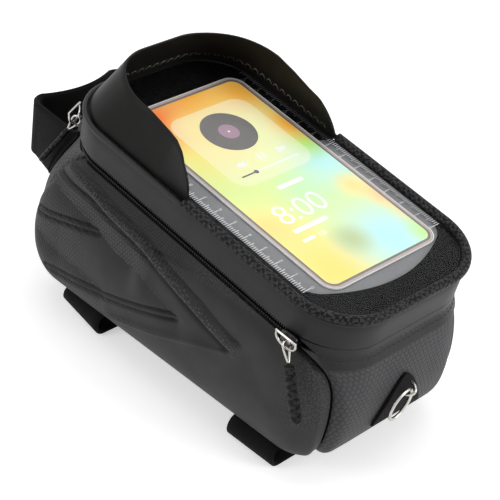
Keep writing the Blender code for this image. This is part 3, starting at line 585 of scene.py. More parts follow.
def loopPiece(name, loops, material, rides, replaced=(), closed=False, smooth=40):
    # closed profile loops joined one after the other, with a map in metres along and around
    size = len(loops[0])
    around = [0.0]
    for index in range(size):
        around.append(around[-1] + (loops[0][(index + 1) % size] - loops[0][index]).length)
    along = [0.0]
    for step in range(len(loops)):
        along.append(along[-1] + (loops[(step + 1) % len(loops)][0] - loops[step][0]).length)
    points = [point for loop in loops for point in loop]
    faces, maps = [], []
    for step in range(len(loops) if closed else len(loops) - 1):
        here, after = step * size, (step + 1) % len(loops) * size
        for index in range(size):
            turn = (index + 1) % size
            faces.append((here + index, here + turn, after + turn, after + index))
            maps.append([(along[step], around[index]), (along[step], around[index + 1]),
                         (along[step + 1], around[index + 1]), (along[step + 1], around[index])])
    if not closed:
        for first in (0, len(points) - size):
            faces.append(tuple(first + index for index in range(size)))
            maps.append([(0.0, around[index]) for index in range(size)])
    return addPiece(name, points, faces, maps, material, rides, replaced, smooth)


def sheetPiece(name, rows, normals, thick, material, rides, replaced=(), lifts=None, smooth=50):
    # a sheet with rounded side edges: the outer face follows the rows, the inner one lies behind
    loops = []
    for level, (row, line) in enumerate(zip(rows, normals)):
        rise = lifts[level] if lifts else [0.0] * len(row)
        outer = [spot + normal * up * mm for spot, normal, up in zip(row, line, rise)]
        inner = [spot - normal * thick * mm for spot, normal in zip(outer, line)]
        edges = []
        for last, before in ((-1, -2), (0, 1)):
            away = (outer[last] - outer[before]).normalized() * thick * 0.35 * mm
            edges.append((outer[last] + inner[last]) / 2 + away)
        loops.append(outer + [edges[0]] + inner[::-1] + [edges[1]])
    size, count = len(loops[0]), len(rows[0])
    middle = len(rows) // 2
    around = [0.0]
    for index in range(count - 1):
        around.append(around[-1] + (rows[middle][index + 1] - rows[middle][index]).length)
    around += [around[-1] + thick * 0.6 * mm] + around[::-1] + [-thick * 0.6 * mm, 0.0]
    along = [0.0]
    for level in range(len(rows) - 1):
        along.append(along[-1] + (rows[level + 1][count // 2] - rows[level][count // 2]).length)
    points = [point for loop in loops for point in loop]
    faces, maps = [], []
    for level in range(len(rows) - 1):
        for index in range(size):
            turn = (index + 1) % size
            faces.append((level * size + index, level * size + turn,
                          (level + 1) * size + turn, (level + 1) * size + index))
            maps.append([(around[index], along[level]), (around[index + 1], along[level]),
                         (around[index + 1], along[level + 1]), (around[index], along[level + 1])])
    for level in (0, len(rows) - 1):  # the two ends are closed with narrow strips
        for index in range(count - 1):
            mate = 2 * count - index
            faces.append(tuple(level * size + corner for corner in (index, index + 1, mate - 1, mate)))
            maps.append([(around[index], along[level])] * 4)
        faces.append(tuple(level * size + corner for corner in (count - 1, count, count + 1)))
        faces.append(tuple(level * size + corner for corner in (2 * count, 2 * count + 1, 0)))
        maps += [[(around[-1], along[level])] * 3] * 2
    return addPiece(name, points, faces, maps, material, rides, replaced, smooth)


def tubePiece(name, path, radius, material, rides, replaced=(), closed=False, sides=12):
    loops, up = [], None
    for index, spot in enumerate(path):
        before = path[index - 1] if closed or index else path[0]
        after = path[(index + 1) % len(path)] if closed or index + 1 < len(path) else path[-1]
        ahead = (after - before).normalized()
        if up is None:
            up = ahead.orthogonal().normalized()
        up = (up - ahead * up.dot(ahead)).normalized()
        across = ahead.cross(up)
        loops.append([spot + (up * math.cos(math.tau * turn / sides)
                              + across * math.sin(math.tau * turn / sides)) * radius * mm
                      for turn in range(sides)])
    return loopPiece(name, loops, material, rides, replaced, closed, 60)


def walkAlong(path, step):
    # places at equal steps along a path of (point, normal), as frames with X along it
    places, left = [], 0.0
    for (start, startUp), (end, endUp) in zip(path, path[1:]):
        run = (end - start).length
        while left < run:
            part = left / run
            ahead = (end - start).normalized()
            up = startUp.lerp(endUp, part)
            up = (up - ahead * up.dot(ahead)).normalized()
            places.append(Matrix((ahead, up.cross(ahead), up)).transposed().to_4x4())
            places[-1].translation = start.lerp(end, part)
            left += step
        left -= run
    return places


def repeatShape(name, shape, places, material, rides, replaced=()):
    # one modelled shape, copied to many places in one mesh
    points, faces, maps = [], [], []
    corners = [vertex.co.copy() for vertex in shape.data.vertices]
    sides = [tuple(face.vertices) for face in shape.data.polygons]
    for place in places:
        first = len(points)
        points += [place @ corner for corner in corners]
        faces += [tuple(first + index for index in side) for side in sides]
        maps += [[(corners[index].x, corners[index].y) for index in side] for side in sides]
    return addPiece(name, points, faces, maps, material, rides, replaced, 60)


def modelStitch(length, radius, arch=0.0):
    # one stitch, thinner and sunk at both ends; an arched one bows sideways
    slim, sink = 0.45, 0.8
    bpy.ops.mesh.primitive_cylinder_add(vertices=6, radius=radius * mm, depth=length * mm,
                                        rotation=(0, math.pi / 2, 0))
    stitch = bpy.context.object
    bpy.ops.object.transform_apply(location=True, rotation=True, scale=True)
    bpy.ops.object.mode_set(mode="EDIT")
    for cut in ((-0.25, 0.0, 0.25) if arch else (0.0,)):
        bpy.ops.mesh.select_all(action="SELECT")
        bpy.ops.mesh.bisect(plane_co=(cut * length * mm, 0, 0), plane_no=(1, 0, 0))
    bpy.ops.object.mode_set(mode="OBJECT")
    for vertex in stitch.data.vertices:
        reach = abs(vertex.co.x) / (length * mm / 2)
        vertex.co.y = vertex.co.y * (1 - slim * reach) + arch * mm * (0.5 - reach ** 2)
        vertex.co.z = vertex.co.z * (1 - slim * reach) - radius * sink * mm * reach
    return stitch


def dropShape(shape):
    bpy.data.objects.remove(shape, do_unlink=True)


# body panels, pressed with the moulded lines

seams = {"width": 2.6, "rear": 0.426, "rearSweep": 0.045, "front": 0.078, "frontSweep": -0.03,
         "dip": 2.6, "roll": 2.6, "columns": 280, "levels": 150}
sharePerMm = 1 / (2 * (body["width"] + body["length"]) - body["corner"])
seamHalf = seams["width"] / 2 * sharePerMm
mouldLines = {"ridge": ((74, 74.5), (57, 72.3), (42, 67.4), (25.5, 64), (14, 61.5), (3.4, 57), (-8, 53.6),
                        (-22, 50), (-33.5, 46), (-45, 42.4), (-54, 42.2)),
              "ridgeFoot": ((84, 69.5), (76.6, 68.7), (56.6, 67.3), (40.6, 63.2), (24.3, 60.2), (7.5, 55.8),
                            (-6.6, 51), (-23.3, 45.4), (-39, 40.6), (-47, 39.6)),
              "branch": ((16, 64.5), (7.6, 63), (-6, 65.4), (-17, 67.3), (-30, 69)),
              "upperPair": ((90, 44), (73, 47), (59, 50), (46, 53.6)),
              "lowerPair": ((84, 11.5), (65, 14.3), (49, 17.5), (26, 24.2), (12, 29), (-3, 34.4), (-11, 37.6)),
              "frontFold": ((92, 67), (77, 63), (68.4, 61), (52.8, 57), (45.2, 55.5), (34, 51), (22.3, 49)),
              "midFold": ((13, 47), (0, 43), (-12, 39.5)),
              "lowFold": ((88, 34), (78.8, 29.9), (71.6, 27.6), (56.2, 25.7), (41.8, 23.9)),
              "rearFold": ((36, 8), (29, 11), (4.7, 19.2), (-29, 33.2), (-50, 40.5))}
ridgeShape = {"height": 2.0, "half": 1.8, "foot": 2.0, "footHalf": 1.3, "pair": 1.9, "pairGap": 1.8,
              "pairHalf": 0.95, "fold": 1.9, "lip": 0.5, "lipHalf": 0.7, "recover": 9.0}


def rearSeam(level):
    return seams["rear"] - seams["rearSweep"] * max(level, 0) ** 10


def frontSeam(level):
    return seams["front"] - seams["frontSweep"] * max(level, 0) ** 10


def lineReach(y, z, line):
    # distance to a moulded line, and 1 where the point lies below it or -1 above it
    best, side = 1000.0, 1.0
    for (fromY, fromZ), (toY, toZ) in zip(line, line[1:]):
        runY, runZ = toY - fromY, toZ - fromZ
        part = min(max(((y - fromY) * runY + (z - fromZ) * runZ) / (runY ** 2 + runZ ** 2), 0.0), 1.0)
        gapY, gapZ = y - fromY - runY * part, z - fromZ - runZ * part
        away = math.hypot(gapY, gapZ)
        if away < best:
            best, side = away, 1.0 if runY * gapZ - runZ * gapY > 0 else -1.0
    return best, side


def sideRelief(spot, level):
    # the relief's height, how strong the cells and the rough grain are there, and how much painted shade darkens
    # the place
    y, z = spot.y / mm, spot.z / mm
    reach = {name: lineReach(y, z, line) for name, line in mouldLines.items()}
    form = ridgeShape
    ridge, ridgeSide = reach["ridge"]
    foot, footSide = reach["ridgeFoot"]
    strong = ramp(y, -56, -46) * (0.45 + 0.55 * ramp(y, 78, 50))
    lift = form["height"] * strong * bell(ridge, form["half"]) - form["foot"] * ramp(y, -52, -38) * bell(
        foot, form["footHalf"])
    if ridgeSide < 0:
        lift -= form["foot"] * 0.8 * strong * bell(ridge - 4.0, form["footHalf"])
    branch, _ = reach["branch"]
    lift -= 0.9 * bell(branch, 1.3) * ramp(y, -32, -16)
    for name, end in (("upperPair", 43), ("lowerPair", -14)):
        away, _ = reach[name]
        lift -= form["pair"] * bell(away - form["pairGap"], form["pairHalf"]) * ramp(y, end, end + 6)
    for name, depth, recessed in (("frontFold", 1.0, 1), ("midFold", 0.7, 1), ("lowFold", 0.9, 1),
                                  ("rearFold", 0.6, -1)):
        away, side = reach[name]
        line = mouldLines[name]
        ends = ramp(y, line[-1][0] - 6, line[-1][0] + 3) * ramp(-y, -line[0][0] - 4, -line[0][0] + 3)
        if side == recessed:
            lift -= form["fold"] * depth * ends * ramp(away, 0, 1.5) * bell(max(away - 1.5, 0), form["recover"])
        lift += form["lip"] * ends * bell(away, form["lipHalf"])
    if footSide < 0:
        cells = ramp(y, -26, 0)
    elif reach["frontFold"][1] < 0 and y > 10:
        cells = ramp(y, 0, 22)
    elif reach["lowerPair"][1] > 0:
        cells = 0.6 * ramp(y, -12, 30)
    else:
        cells = 0.8 * ramp(y, 38, 66)
    rough = strong * bell(ridge, 2.3) + 0.5 * ramp(z, 62.5, 66) * ramp(-y, 5, 25)
    rough += 0.8 * bell(y + 90, 8) * ramp(z, 18, 30) * ramp(-z, -66, -54)
    fade = max(min(level / 0.16, (1 - level) / 0.1, 1.0), 0.0)
    # painted shade: darker in the sunk grooves, in a strip just under the band and above the ridge, where shade
    # falls
    paintedShade = max(-lift / 2.2, 0.0) + 0.8 * ramp(level, 0.82, 0.95)
    if ridgeSide < 0:
        paintedShade += 0.45 * strong * ramp(y, -40, 10)
    return fade * lift, cells, min(rough, 1.0), min(paintedShade, 1.0)


def bodyPanel(name, first, last, columns, levels, material, replaced, relief=None):
    rows, normals, lifts, masks = [], [], [], []
    for level in between(0.0, 1.0, levels):
        shares = between(first(level) + seamHalf, last(level) - seamHalf, columns)
        rows.append([shellAt(share, level) for share in shares])
        normals.append([shellNormal(share, level) for share in shares])
        line = [relief(spot, level) if relief else (0.0, 1.0, 0.0, 0.0) for spot in rows[-1]]
        dips = [-seams["dip"] * bell(min(share - shares[0], shares[-1] - share) / sharePerMm, seams["roll"])
                for share in shares]
        lifts.append([dip + values[0] for dip, values in zip(dips, line)])
        masks += line + line[-1:] + line[::-1] + line[:1]
    piece = sheetPiece(name, rows, normals, body["thick"], material, "root", replaced, lifts)
    if relief:
        # the third mask holds the painted shade of the grooves and of the strip under the band
        for place, label in ((1, "cells"), (2, "rough"), (3, "paintedShade")):
            layer = piece.data.attributes.new(label, "FLOAT", "POINT")
            layer.data.foreach_set("value", [values[place] for values in masks])
    return piece


sidePanel = bodyPanel("sidePanelLeft", frontSeam, rearSeam, seams["columns"], seams["levels"], sideFabric,
                      ["left_side_panel"], sideRelief)
mesh = sidePanel.data.copy()
mesh.materials.clear()
mesh.transform(Matrix.Diagonal((-1, 1, 1, 1)))
turnFacesOut(mesh)
finishPiece(newPiece("sidePanelRight", mesh), sideFabric, "root", ["right_side_panel"])
bodyPanel("panelRear", rearSeam, lambda level: 1 - rearSeam(level), 90, 60, rearFabric, ["rear_panel"])
bodyPanel("panelFront", lambda level: -frontSeam(level), frontSeam, 90, 60, rearFabric, ["front_panel"])

seamTape = {"low": 0.04, "high": 0.99, "across": (-2.6, -1.2, 1.2, 2.6), "under": 4.9, "thick": 0.8}
for side in ("Left", "Right"):
    for place, line in (("Rear", rearSeam), ("Front", frontSeam)):
        rows, normals = [], []
        for level in between(seamTape["low"], seamTape["high"], 50):
            middle = line(level) if side == "Left" else 1 - line(level)
            shares = [middle + offset * sharePerMm for offset in seamTape["across"]]
            normals.append([shellNormal(share, level) for share in shares])
            rows.append([shellAt(share, level) - normal * seamTape["under"] * mm
                         for share, normal in zip(shares, normals[-1])])
        sheetPiece("seamTape" + place + side, rows, normals, seamTape["thick"], tapeFabric, "root")

baseBoard = {"corners": 120, "profile": ((12.0, 0.0), (12.0, 0.5), (12.4, 1.9), (13.4, 2.4))}
rings = []
for inset, z in baseBoard["profile"]:
    ring = []
    for index in range(baseBoard["corners"]):
        spot, out = bodyOutline(index / baseBoard["corners"])
        spot -= out * inset
        ring.append(Vector((spot.x, spot.y, z)) * mm)
    rings.append(ring)
loopPiece("baseBoard", rings, baseFabric, "root", ["base_panel"])
print("body panels are built")


# zip: two tapes and two rows of teeth

zipper = {"depth": 19.2, "gap": 1.2, "height": 1.5, "inset": 0.8, "tape": 0.7, "tapeHeight": 6.0,
          "tapeGap": 0.6, "end": 0.386, "pitch": 1.35, "toothWide": 0.95, "toothDeep": 2.4,
          "toothRound": 0.3, "toothMiddle": 2.0}
zipShares = between(-zipper["end"], zipper["end"], 180)
lowerTeeth, upperTeeth = -zipper["depth"] - zipper["gap"] / 2, -zipper["depth"] + zipper["gap"] / 2
tapeFace = lid["proud"] + lid["bandThick"] + zipper["tapeGap"]
tapeBack = tapeFace + zipper["tape"]
for name, low, high, rides, node in (
        ("zipTapeLower", lowerTeeth - zipper["tapeHeight"], lowerTeeth, "root", "body_zip_tape"),
        ("zipTapeUpper", upperTeeth, upperTeeth + zipper["tapeHeight"] - zipper["gap"], "lid",
         "lid_zip_tape")):
    profile = ((tapeFace, low), (tapeFace, high), (tapeBack, high), (tapeBack, low))
    loopPiece(name, [[lidEdge(share, *corner) for corner in profile] for share in zipShares],
              tapeFabric, rides, [node])

tooth = addBox(zipper["toothWide"], zipper["toothDeep"], zipper["height"])
bevelAll(zipper["toothRound"], 2)
for name, z, rides, node in (("zipTeethLower", lowerTeeth - zipper["height"] / 2, "root", "body_zip_teeth"),
                             ("zipTeethUpper", upperTeeth + zipper["height"] / 2, "lid", "lid_zip_teeth")):
    inset = lid["proud"] + zipper["inset"] + zipper["toothMiddle"]
    path = [(lidEdge(share, inset, z), lidUp) for share in zipShares]
    repeatShape(name, tooth, walkAlong(path, zipper["pitch"] * mm), zipPlastic, rides, [node])
dropShape(tooth)
print("zip is built")


# lid: band, front rim, binding

bandProfile = [(3.4, -16.4), (1.2, -16.4), (0.45, -16.2), (0.1, -15.7), (0.0, -14.8), (0.0, -13.2),
               (-0.05, -10.0), (-0.05, -7.0), (0.1, -4.6), (0.35, -3.7), (0.45, -3.3), (0.3, -3.0),
               (0.15, -2.6), (0.3, -2.1), (0.8, -1.8), (1.6, -1.7), (3.4, -1.7)]
bandLoops = []
for share in between(0.0, 1.0, 240)[:-1]:
    flush = 1 - 0.92 * ramp(0.115 - abs(share - 0.5), 0.0, 0.03)  # squarer foot where it meets the hinge flap
    bandLoops.append([lidEdge(share, lid["proud"] + (inset * flush if z < -13 and inset < 2 else inset), z)
                      for inset, z in bandProfile])
loopPiece("lidBand", bandLoops, bandFabric, "lid", ["lid_band"], True)

visorSize = {"height": 21.0, "extra": 2.5, "thick": 1.4, "leanSide": 6.6, "leanFront": 8.0, "riseRun": 13.0,
             "rearEnd": 7.0, "foot": 1.2, "inset": 3.8, "flange": 1.6, "corner": 36.0, "low": 0.9,
             "leftFlare": ((0, -10.5), (6, -10.0), (13, -6.9), (20, -4.0), (27, -2.8), (45, -1.0), (75, -1.0),
                           (100, -2.5), (150, -2.5)),
             "rightFlare": ((0, -4.9), (7, -4.4), (20, -2.8), (35, -0.1), (50, 1.6), (75, 0.0), (100, -2.5),
                            (150, -2.5))}
visorEnd = sideShare(visorSize["rearEnd"])
lidRound = 2 * (lid["width"] + lid["length"]) - 8 * lid["corner"] + math.tau * lid["corner"]


def fromVisorEnd(share):
    return (visorEnd - abs(share)) * lidRound


def roundEdge(share, inset, z, radius, sides):
    turns = [math.tau * turn / sides for turn in range(sides)]
    return [lidEdge(share, inset - radius * math.cos(turn), z + radius * math.sin(turn)) for turn in turns]


rim = {"inset": 1.75, "z": -0.25, "radius": 1.35, "sides": 14, "endSize": 0.75, "endRun": 5.0}
rimLoops = []
for share in between(-visorEnd, visorEnd, 150):
    taper = min(1.0, fromVisorEnd(share) / rim["endRun"] + rim["endSize"])
    rimLoops.append(roundEdge(share, rim["inset"], rim["z"], rim["radius"] * taper, rim["sides"]))
loopPiece("lidRim", rimLoops, bandFabric, "lid", smooth=60)

binding = {"radius": 2.4, "z": 1.0, "sides": 16, "gap": 0.3}
bindingStart = visorEnd + binding["gap"] / lidRound
loopPiece("lidBinding", [roundEdge(share, binding["radius"], binding["z"], binding["radius"], binding["sides"])
                         for share in between(bindingStart, 1 - bindingStart, 200)],
          carbonBinding, "lid", ["lid_piping"], smooth=60)


# visor

def visorSpot(share, inset, tall, part):
    low, lowOut = lidOutline(share)
    high, highOut = outlineAt(share, lid["width"] - 2 * visorSize["leanSide"],
                              lid["length"] - 2 * visorSize["leanFront"], visorSize["corner"])
    leanPart = part * tall / visorSize["height"]
    spot = low.lerp(high, leanPart) - lowOut.lerp(highOut, leanPart).normalized() * inset
    fromEnd = fromVisorEnd(share)
    flare = visorSize["leftFlare" if share > 0 else "rightFlare"]
    for (start, first), (end, second) in zip(flare, flare[1:]):
        if start <= fromEnd <= end:
            spot.x += (first + (second - first) * (fromEnd - start) / (end - start)) * leanPart
    spot.z = visorSize["low"] + visorSize["foot"] + part * tall
    return lidPlace(spot)


def visorTall(share):
    fromEnd = (1 - abs(share) / visorEnd) * visorEnd * lidRound
    rise = 1 - min(fromEnd / visorSize["riseRun"], 1)
    tall = visorSize["height"] * math.sqrt(1 - rise * rise)
    return max(tall + visorSize["extra"] * min(fromEnd / (visorEnd * lidRound) * 1.6, 1), 0.6)


visorLoops = []
outer, inner = visorSize["inset"], visorSize["inset"] + visorSize["thick"]
flange = inner + visorSize["flange"]
lip = {"start": 0.985, "size": 0.35, "flangeThick": 0.72}
for part in between(-1.0, 1.0, 220):
    share = visorEnd * (1.0 - (1.0 - abs(part)) ** 1.25) * (1 if part > 0 else -1)
    tall = visorTall(share)
    loop = [lidEdge(share, flange, visorSize["low"]), lidEdge(share, outer, visorSize["low"])]
    loop += [visorSpot(share, outer, tall, up) for up in between(0.0, lip["start"], 9)]
    loop += [visorSpot(share, inset, tall, 1.0) for inset in (outer + lip["size"], inner - lip["size"])]
    loop += [visorSpot(share, inner, tall, up) for up in between(lip["start"], 0.0, 9)]
    loop.append(lidEdge(share, flange, visorSize["low"] + lip["flangeThick"]))
    visorLoops.append(loop)
loopPiece("sunVisor", visorLoops, visorSkin, "lid", ["visor"], smooth=50)

visorSeam = {"length": 3.8, "radius": 0.42, "arch": -2.1, "pitch": 4.9, "ends": 0.94, "height": 3.6,
             "highest": 0.6, "inset": 0.15}
archStitch = modelStitch(visorSeam["length"], visorSeam["radius"], visorSeam["arch"])
path = []
for share in between(-visorEnd * visorSeam["ends"], visorEnd * visorSeam["ends"], 160):
    tall = visorTall(share)
    up = min(visorSeam["height"] / tall, visorSeam["highest"])
    path.append((visorSpot(share, inner + visorSeam["inset"], tall, up), lidTurn @ -lidOutline(share)[1]))
repeatShape("visorStitches", archStitch, walkAlong(path, visorSeam["pitch"] * mm), paleThread, "lid")
dropShape(archStitch)
print("visor is built")


# window: printed border with rulers, film, card and pocket sheets

window = {"left": -44.0, "right": 48.0, "front": 77.0, "rear": 73.0, "tongue": 7.0, "corner": 6.0,
          # stepLeft and stepRight say where the painted shade of the visor begins on each side
          "stepLeft": 26.0, "stepRight": 9.0,
          "filmLow": 0.0, "filmHigh": 0.6, "borderHigh": -0.3, "borderLow": -1.1, "sheetHigh": -1.4,
          "sheetLow": -2.2, "backHigh": -11.2, "backLow": -12.4}
card = {"width": 76.0, "length": 142.5, "corner": 8.0, "shift": 4.4}
ringShares = between(0.0, 1.0, 240)[:-1]


def openingEdge(share, z):
    width = window["right"] - window["left"]
    spot, _ = outlineAt(share, width, window["front"] + window["rear"], window["corner"])
    spot.y += (window["front"] - window["rear"]) / 2
    rearward = min(max((-spot.y - window["rear"] * 0.55) / (window["rear"] * 0.45), 0.0), 1.0)
    across = min(abs(spot.x) / (width / 2), 1.0)
    spot.y += 7.0 * rearward * across ** 2 - window["tongue"] * (1 - across ** 2) * rearward
    spot.x += (window["left"] + window["right"]) / 2
    step = window["stepRight"] if spot.x > 0 else window["stepLeft"]
    if spot.y > step:  # under the visor the black print comes up to the card: painted shade, dark where the visor's shade and dark reflection fall
        edge = Vector((card["width"] / 2 + 0.3, card["length"] / 2 + 0.3, 0))
        heart = Vector((min(max(spot.x - card["shift"], card["corner"] - edge.x), edge.x - card["corner"]),
                        min(max(spot.y, card["corner"] - edge.y), edge.y - card["corner"]), 0))
        away = (Vector((spot.x - card["shift"], spot.y, 0)) - heart).normalized() * card["corner"]
        close = heart + away + Vector((card["shift"], 0, 0))
        spot = spot.lerp(close, ramp(spot.y, step, step + 3.0))
    return lidPlace((spot.x, spot.y, z))


def cardEdge(share, inset, z):
    spot, out = outlineAt(share, card["width"], card["length"], card["corner"])
    spot -= out * inset
    return lidPlace((spot.x + card["shift"], spot.y, z))


def lidMaps(points, faces):
    # a flat map in metres, measured across the lid from the middle of the card
    turned = lidTurn.transposed()
    flat = [turned @ (Vector(point) - lidCentre) for point in points]
    return [[(flat[index].x - card["shift"] * mm, flat[index].y) for index in face] for face in faces]


def flatRing(name, outerEdge, innerEdge, low, high, material, rides, replaced=()):
    loops = [[outerEdge(share, low), outerEdge(share, high), innerEdge(share, high), innerEdge(share, low)]
             for share in ringShares]
    return loopPiece(name, loops, material, rides, replaced, True, 30)


def flatPlate(name, edge, low, high, material, rides, replaced=()):
    points = [edge(share, z) for z in (low, high) for share in ringShares]
    count = len(ringShares)
    faces = [tuple(range(count)), tuple(range(count, 2 * count))]
    faces += [(index, (index + 1) % count, count + (index + 1) % count, count + index)
              for index in range(count)]
    return addPiece(name, points, faces, lidMaps(points, faces), material, rides, replaced, 30)


def filmEdge(share, z):
    return lidEdge(share, lid["filmEdge"], z)


def pocketEdge(share, z):
    return lidEdge(share, lid["proud"] + lid["bandThick"] + 0.3, z)


def slotEdge(share, z):
    spot, _ = outlineAt(share, 80.0, 30.0, 8.0)
    return lidPlace((spot.x, spot.y + 36.0 - lid["length"] / 2, z))


def filmMaterial():
    # clear film with a few soft ripples; it lets light through to what lies under it
    material, tree, shader = startMaterial("clearFilm", (0.96, 0.97, 0.98), 0.06)
    shader.inputs["Transmission Weight"].default_value = 1.0
    shader.inputs["IOR"].default_value = 1.1
    place = surfaceMillimetres(tree)
    ripples = addNode(tree, "ShaderNodeTexNoise", Scale=0.03, Detail=0.5, Distortion=0.3)
    tree.links.new(place, ripples.inputs["Vector"])
    addBump(tree, shader, ripples.outputs["Fac"], 3.0, 0.35)
    clear = tree.nodes.new("ShaderNodeBsdfTransparent")
    clear.inputs["Color"].default_value = (0.97, 0.97, 0.97, 1)
    mix = tree.nodes.new("ShaderNodeMixShader")
    path = tree.nodes.new("ShaderNodeLightPath")
    through = calc(tree, "MAXIMUM", path.outputs["Is Shadow Ray"], path.outputs["Is Diffuse Ray"])
    tree.links.new(through, mix.inputs[0])
    tree.links.new(shader.outputs[0], mix.inputs[1])
    tree.links.new(clear.outputs[0], mix.inputs[2])
    tree.links.new(mix.outputs[0], tree.nodes["Material Output"].inputs["Surface"])
    return material


def screenMaterial():
    # soft patches of colour, as on a plain background picture, which also glow as painted light though the card
    # is no lamp; places are on the card in millimetres
    patches = [((-24, -62), 36, (0.95, 0.74, 0.2)), ((-34, -22), 28, (0.95, 0.72, 0.25)),
               ((17, -58), 34, (0.5, 0.85, 0.93)), ((4, -14), 26, (0.6, 0.9, 0.5)),
               ((30, -2), 26, (0.5, 0.86, 0.85)), ((-25, 0), 24, (0.75, 0.9, 0.35)),
               ((32, 14), 15, (0.5, 0.85, 0.2)), ((28, -22), 11, (0.95, 0.75, 0.3)),
               ((37, -34), 12, (0.98, 0.6, 0.3)), ((42, -48), 14, (0.95, 0.66, 0.2)),
               ((37, -64), 13, (0.55, 0.86, 0.25)), ((-2, -50), 13, (0.5, 0.6, 0.32)),
               ((-14, 36), 34, (0.97, 0.77, 0.18)), ((35, 28), 17, (0.97, 0.42, 0.04)),
               ((30, 60), 28, (0.97, 0.44, 0.05)), ((2, 70), 26, (0.96, 0.4, 0.04)),
               ((-28, 62), 28, (0.96, 0.14, 0.02)), ((-12, 47), 15, (0.97, 0.7, 0.12))]
    player = {"centre": (2.0, 29.0, 0), "flat": (17.0, 19.0, 0), "corner": 9.0}
    material, tree, shader = startMaterial("screenPictureGlow", (0.9, 0.9, 0.6), 0.35, level=0.3)
    place = surfaceMillimetres(tree)
    colour = (0.78, 0.88, 0.35)
    for (x, y), radius, paint in patches:
        away = vectorCalc(tree, "DISTANCE", place, (x, y, 0)).outputs["Value"]
        colour = blendColours(tree, mapRange(tree, away, 0.0, radius * 1.2, 0.95, 0.0), colour, paint)
    away = vectorCalc(tree, "SUBTRACT", place, player["centre"]).outputs[0]
    away = vectorCalc(tree, "ABSOLUTE", away).outputs[0]
    away = vectorCalc(tree, "SUBTRACT", away, player["flat"]).outputs[0]
    away = vectorCalc(tree, "LENGTH", vectorCalc(tree, "MAXIMUM", away, (0, 0, 0)).outputs[0]).outputs["Value"]
    pane = mapRange(tree, away, player["corner"] - 0.2, player["corner"] + 0.2, 0.42, 0.0)
    colour = blendColours(tree, pane, colour, (0.96, 0.95, 0.72))
    tree.links.new(colour, shader.inputs["Base Color"])
    # painted glow: the printed card gives off light of its own, as if it were a lit screen
    tree.links.new(colour, shader.inputs["Emission Color"])
    shader.inputs["Emission Strength"].default_value = 0.3
    return material


# printed colour that also glows: painted light, as if the card were a lit screen
def litMaterial(name, colour, strength):
    material, tree, shader = startMaterial(name, colour, 0.4)
    grain = useGroup(tree, skinGrain, Vector=surfaceMillimetres(tree, own=False), Fineness=1.0)
    paint = blendColours(tree, grain.outputs["Cloud"], colour, [value * 0.93 for value in colour])
    tree.links.new(paint, shader.inputs["Base Color"])
    tree.links.new(paint, shader.inputs["Emission Color"])
    shader.inputs["Emission Strength"].default_value = strength
    return material


clearFilm = filmMaterial()
screenPictureGlow = screenMaterial()
bezelGrey = grainedMaterial("bezelGrey", (0.2, 0.2, 0.19), (0.26, 0.26, 0.25), 0.35, 1.0, 0.02)
rimPink = grainedMaterial("rimPink", (0.62, 0.47, 0.42), (0.72, 0.57, 0.52), 0.3, 1.0, 0.02)
# the card's white outer rim is a painted highlight, the lit edge of a rim, and it glows as well
rimPaintedHighlight = litMaterial("rimPaintedHighlight", (0.88, 0.87, 0.86), 0.1)
discGrey = litMaterial("discGrey", (0.2, 0.19, 0.18), 0.05)
labelMauve = litMaterial("labelMauve", (0.5, 0.33, 0.42), 0.05)
iconWhite = litMaterial("iconWhite", (0.98, 0.98, 0.95), 0.25)
# painted shade: a darker copy of the white print, for ruler marks where the visor's shade falls
visorShadePrint = grainedMaterial("visorShadePrint", (0.12, 0.12, 0.12), (0.2, 0.2, 0.2), 0.5, 1.0, 0.01)

flatRing("windowBorder", filmEdge, openingEdge, window["borderLow"], window["borderHigh"], borderPrint,
         "lid", ["window_border"])
flatPlate("windowFilm", filmEdge, window["filmLow"], window["filmHigh"], clearFilm, "lid", ["window_film"])
flatPlate("pocketSheet", pocketEdge, window["sheetLow"], window["sheetHigh"], pocketPlastic, "lid",
          ["pocket_sheet"])
flatRing("pocketBacking", pocketEdge, slotEdge, window["backLow"], window["backHigh"], tapeFabric, "lid",
         ["pocket_backing"])
flatPlate("displayCard", lambda share, z: cardEdge(share, 0.5, z), window["borderLow"], -0.42, bezelGrey,
          "lid", ["display_card"])
# the outer rim ring is a painted highlight along the card's edge
flatRing("cardRimOuter", lambda share, z: cardEdge(share, 0.0, z), lambda share, z: cardEdge(share, 0.5, z),
         window["borderLow"], -0.32, rimPaintedHighlight, "lid")
flatRing("cardRimInner", lambda share, z: cardEdge(share, 0.7, z), lambda share, z: cardEdge(share, 1.7, z),
         -0.5, -0.38, rimPink, "lid")
flatPlate("cardScreen", lambda share, z: cardEdge(share, 3.0, z), -0.5, -0.37, screenPictureGlow, "lid")


def placeFlat(piece, x, y, z, material, turn=0.0):
    # a flat shape made at the origin goes to its place on the card
    piece.rotation_euler = (0, 0, 0)
    selectOnly(piece)
    if piece.type != "MESH":
        bpy.ops.object.convert(target="MESH")
        piece = bpy.context.object
    move = (Matrix.Translation(lidPlace((x + card["shift"], y, z))) @ lidTurn.to_4x4()
            @ Matrix.Rotation(math.radians(turn), 4, "Z"))
    piece.data.transform(move @ piece.matrix_world)
    piece.matrix_world = Matrix.Identity(4)
    if not piece.data.uv_layers:
        piece.data.uv_layers.new(name="UVMap")
    return finishPiece(piece, material, "lid", smooth=30)


def addDisc(name, radius, height, x, y, z, material, corners=48, turn=0.0):
    bpy.ops.mesh.primitive_cylinder_add(vertices=corners, radius=radius * mm, depth=height * mm)
    disc = bpy.context.object
    disc.name = name
    bevelAll(height * 0.3, 1)
    return placeFlat(disc, x, y, z, material, turn)


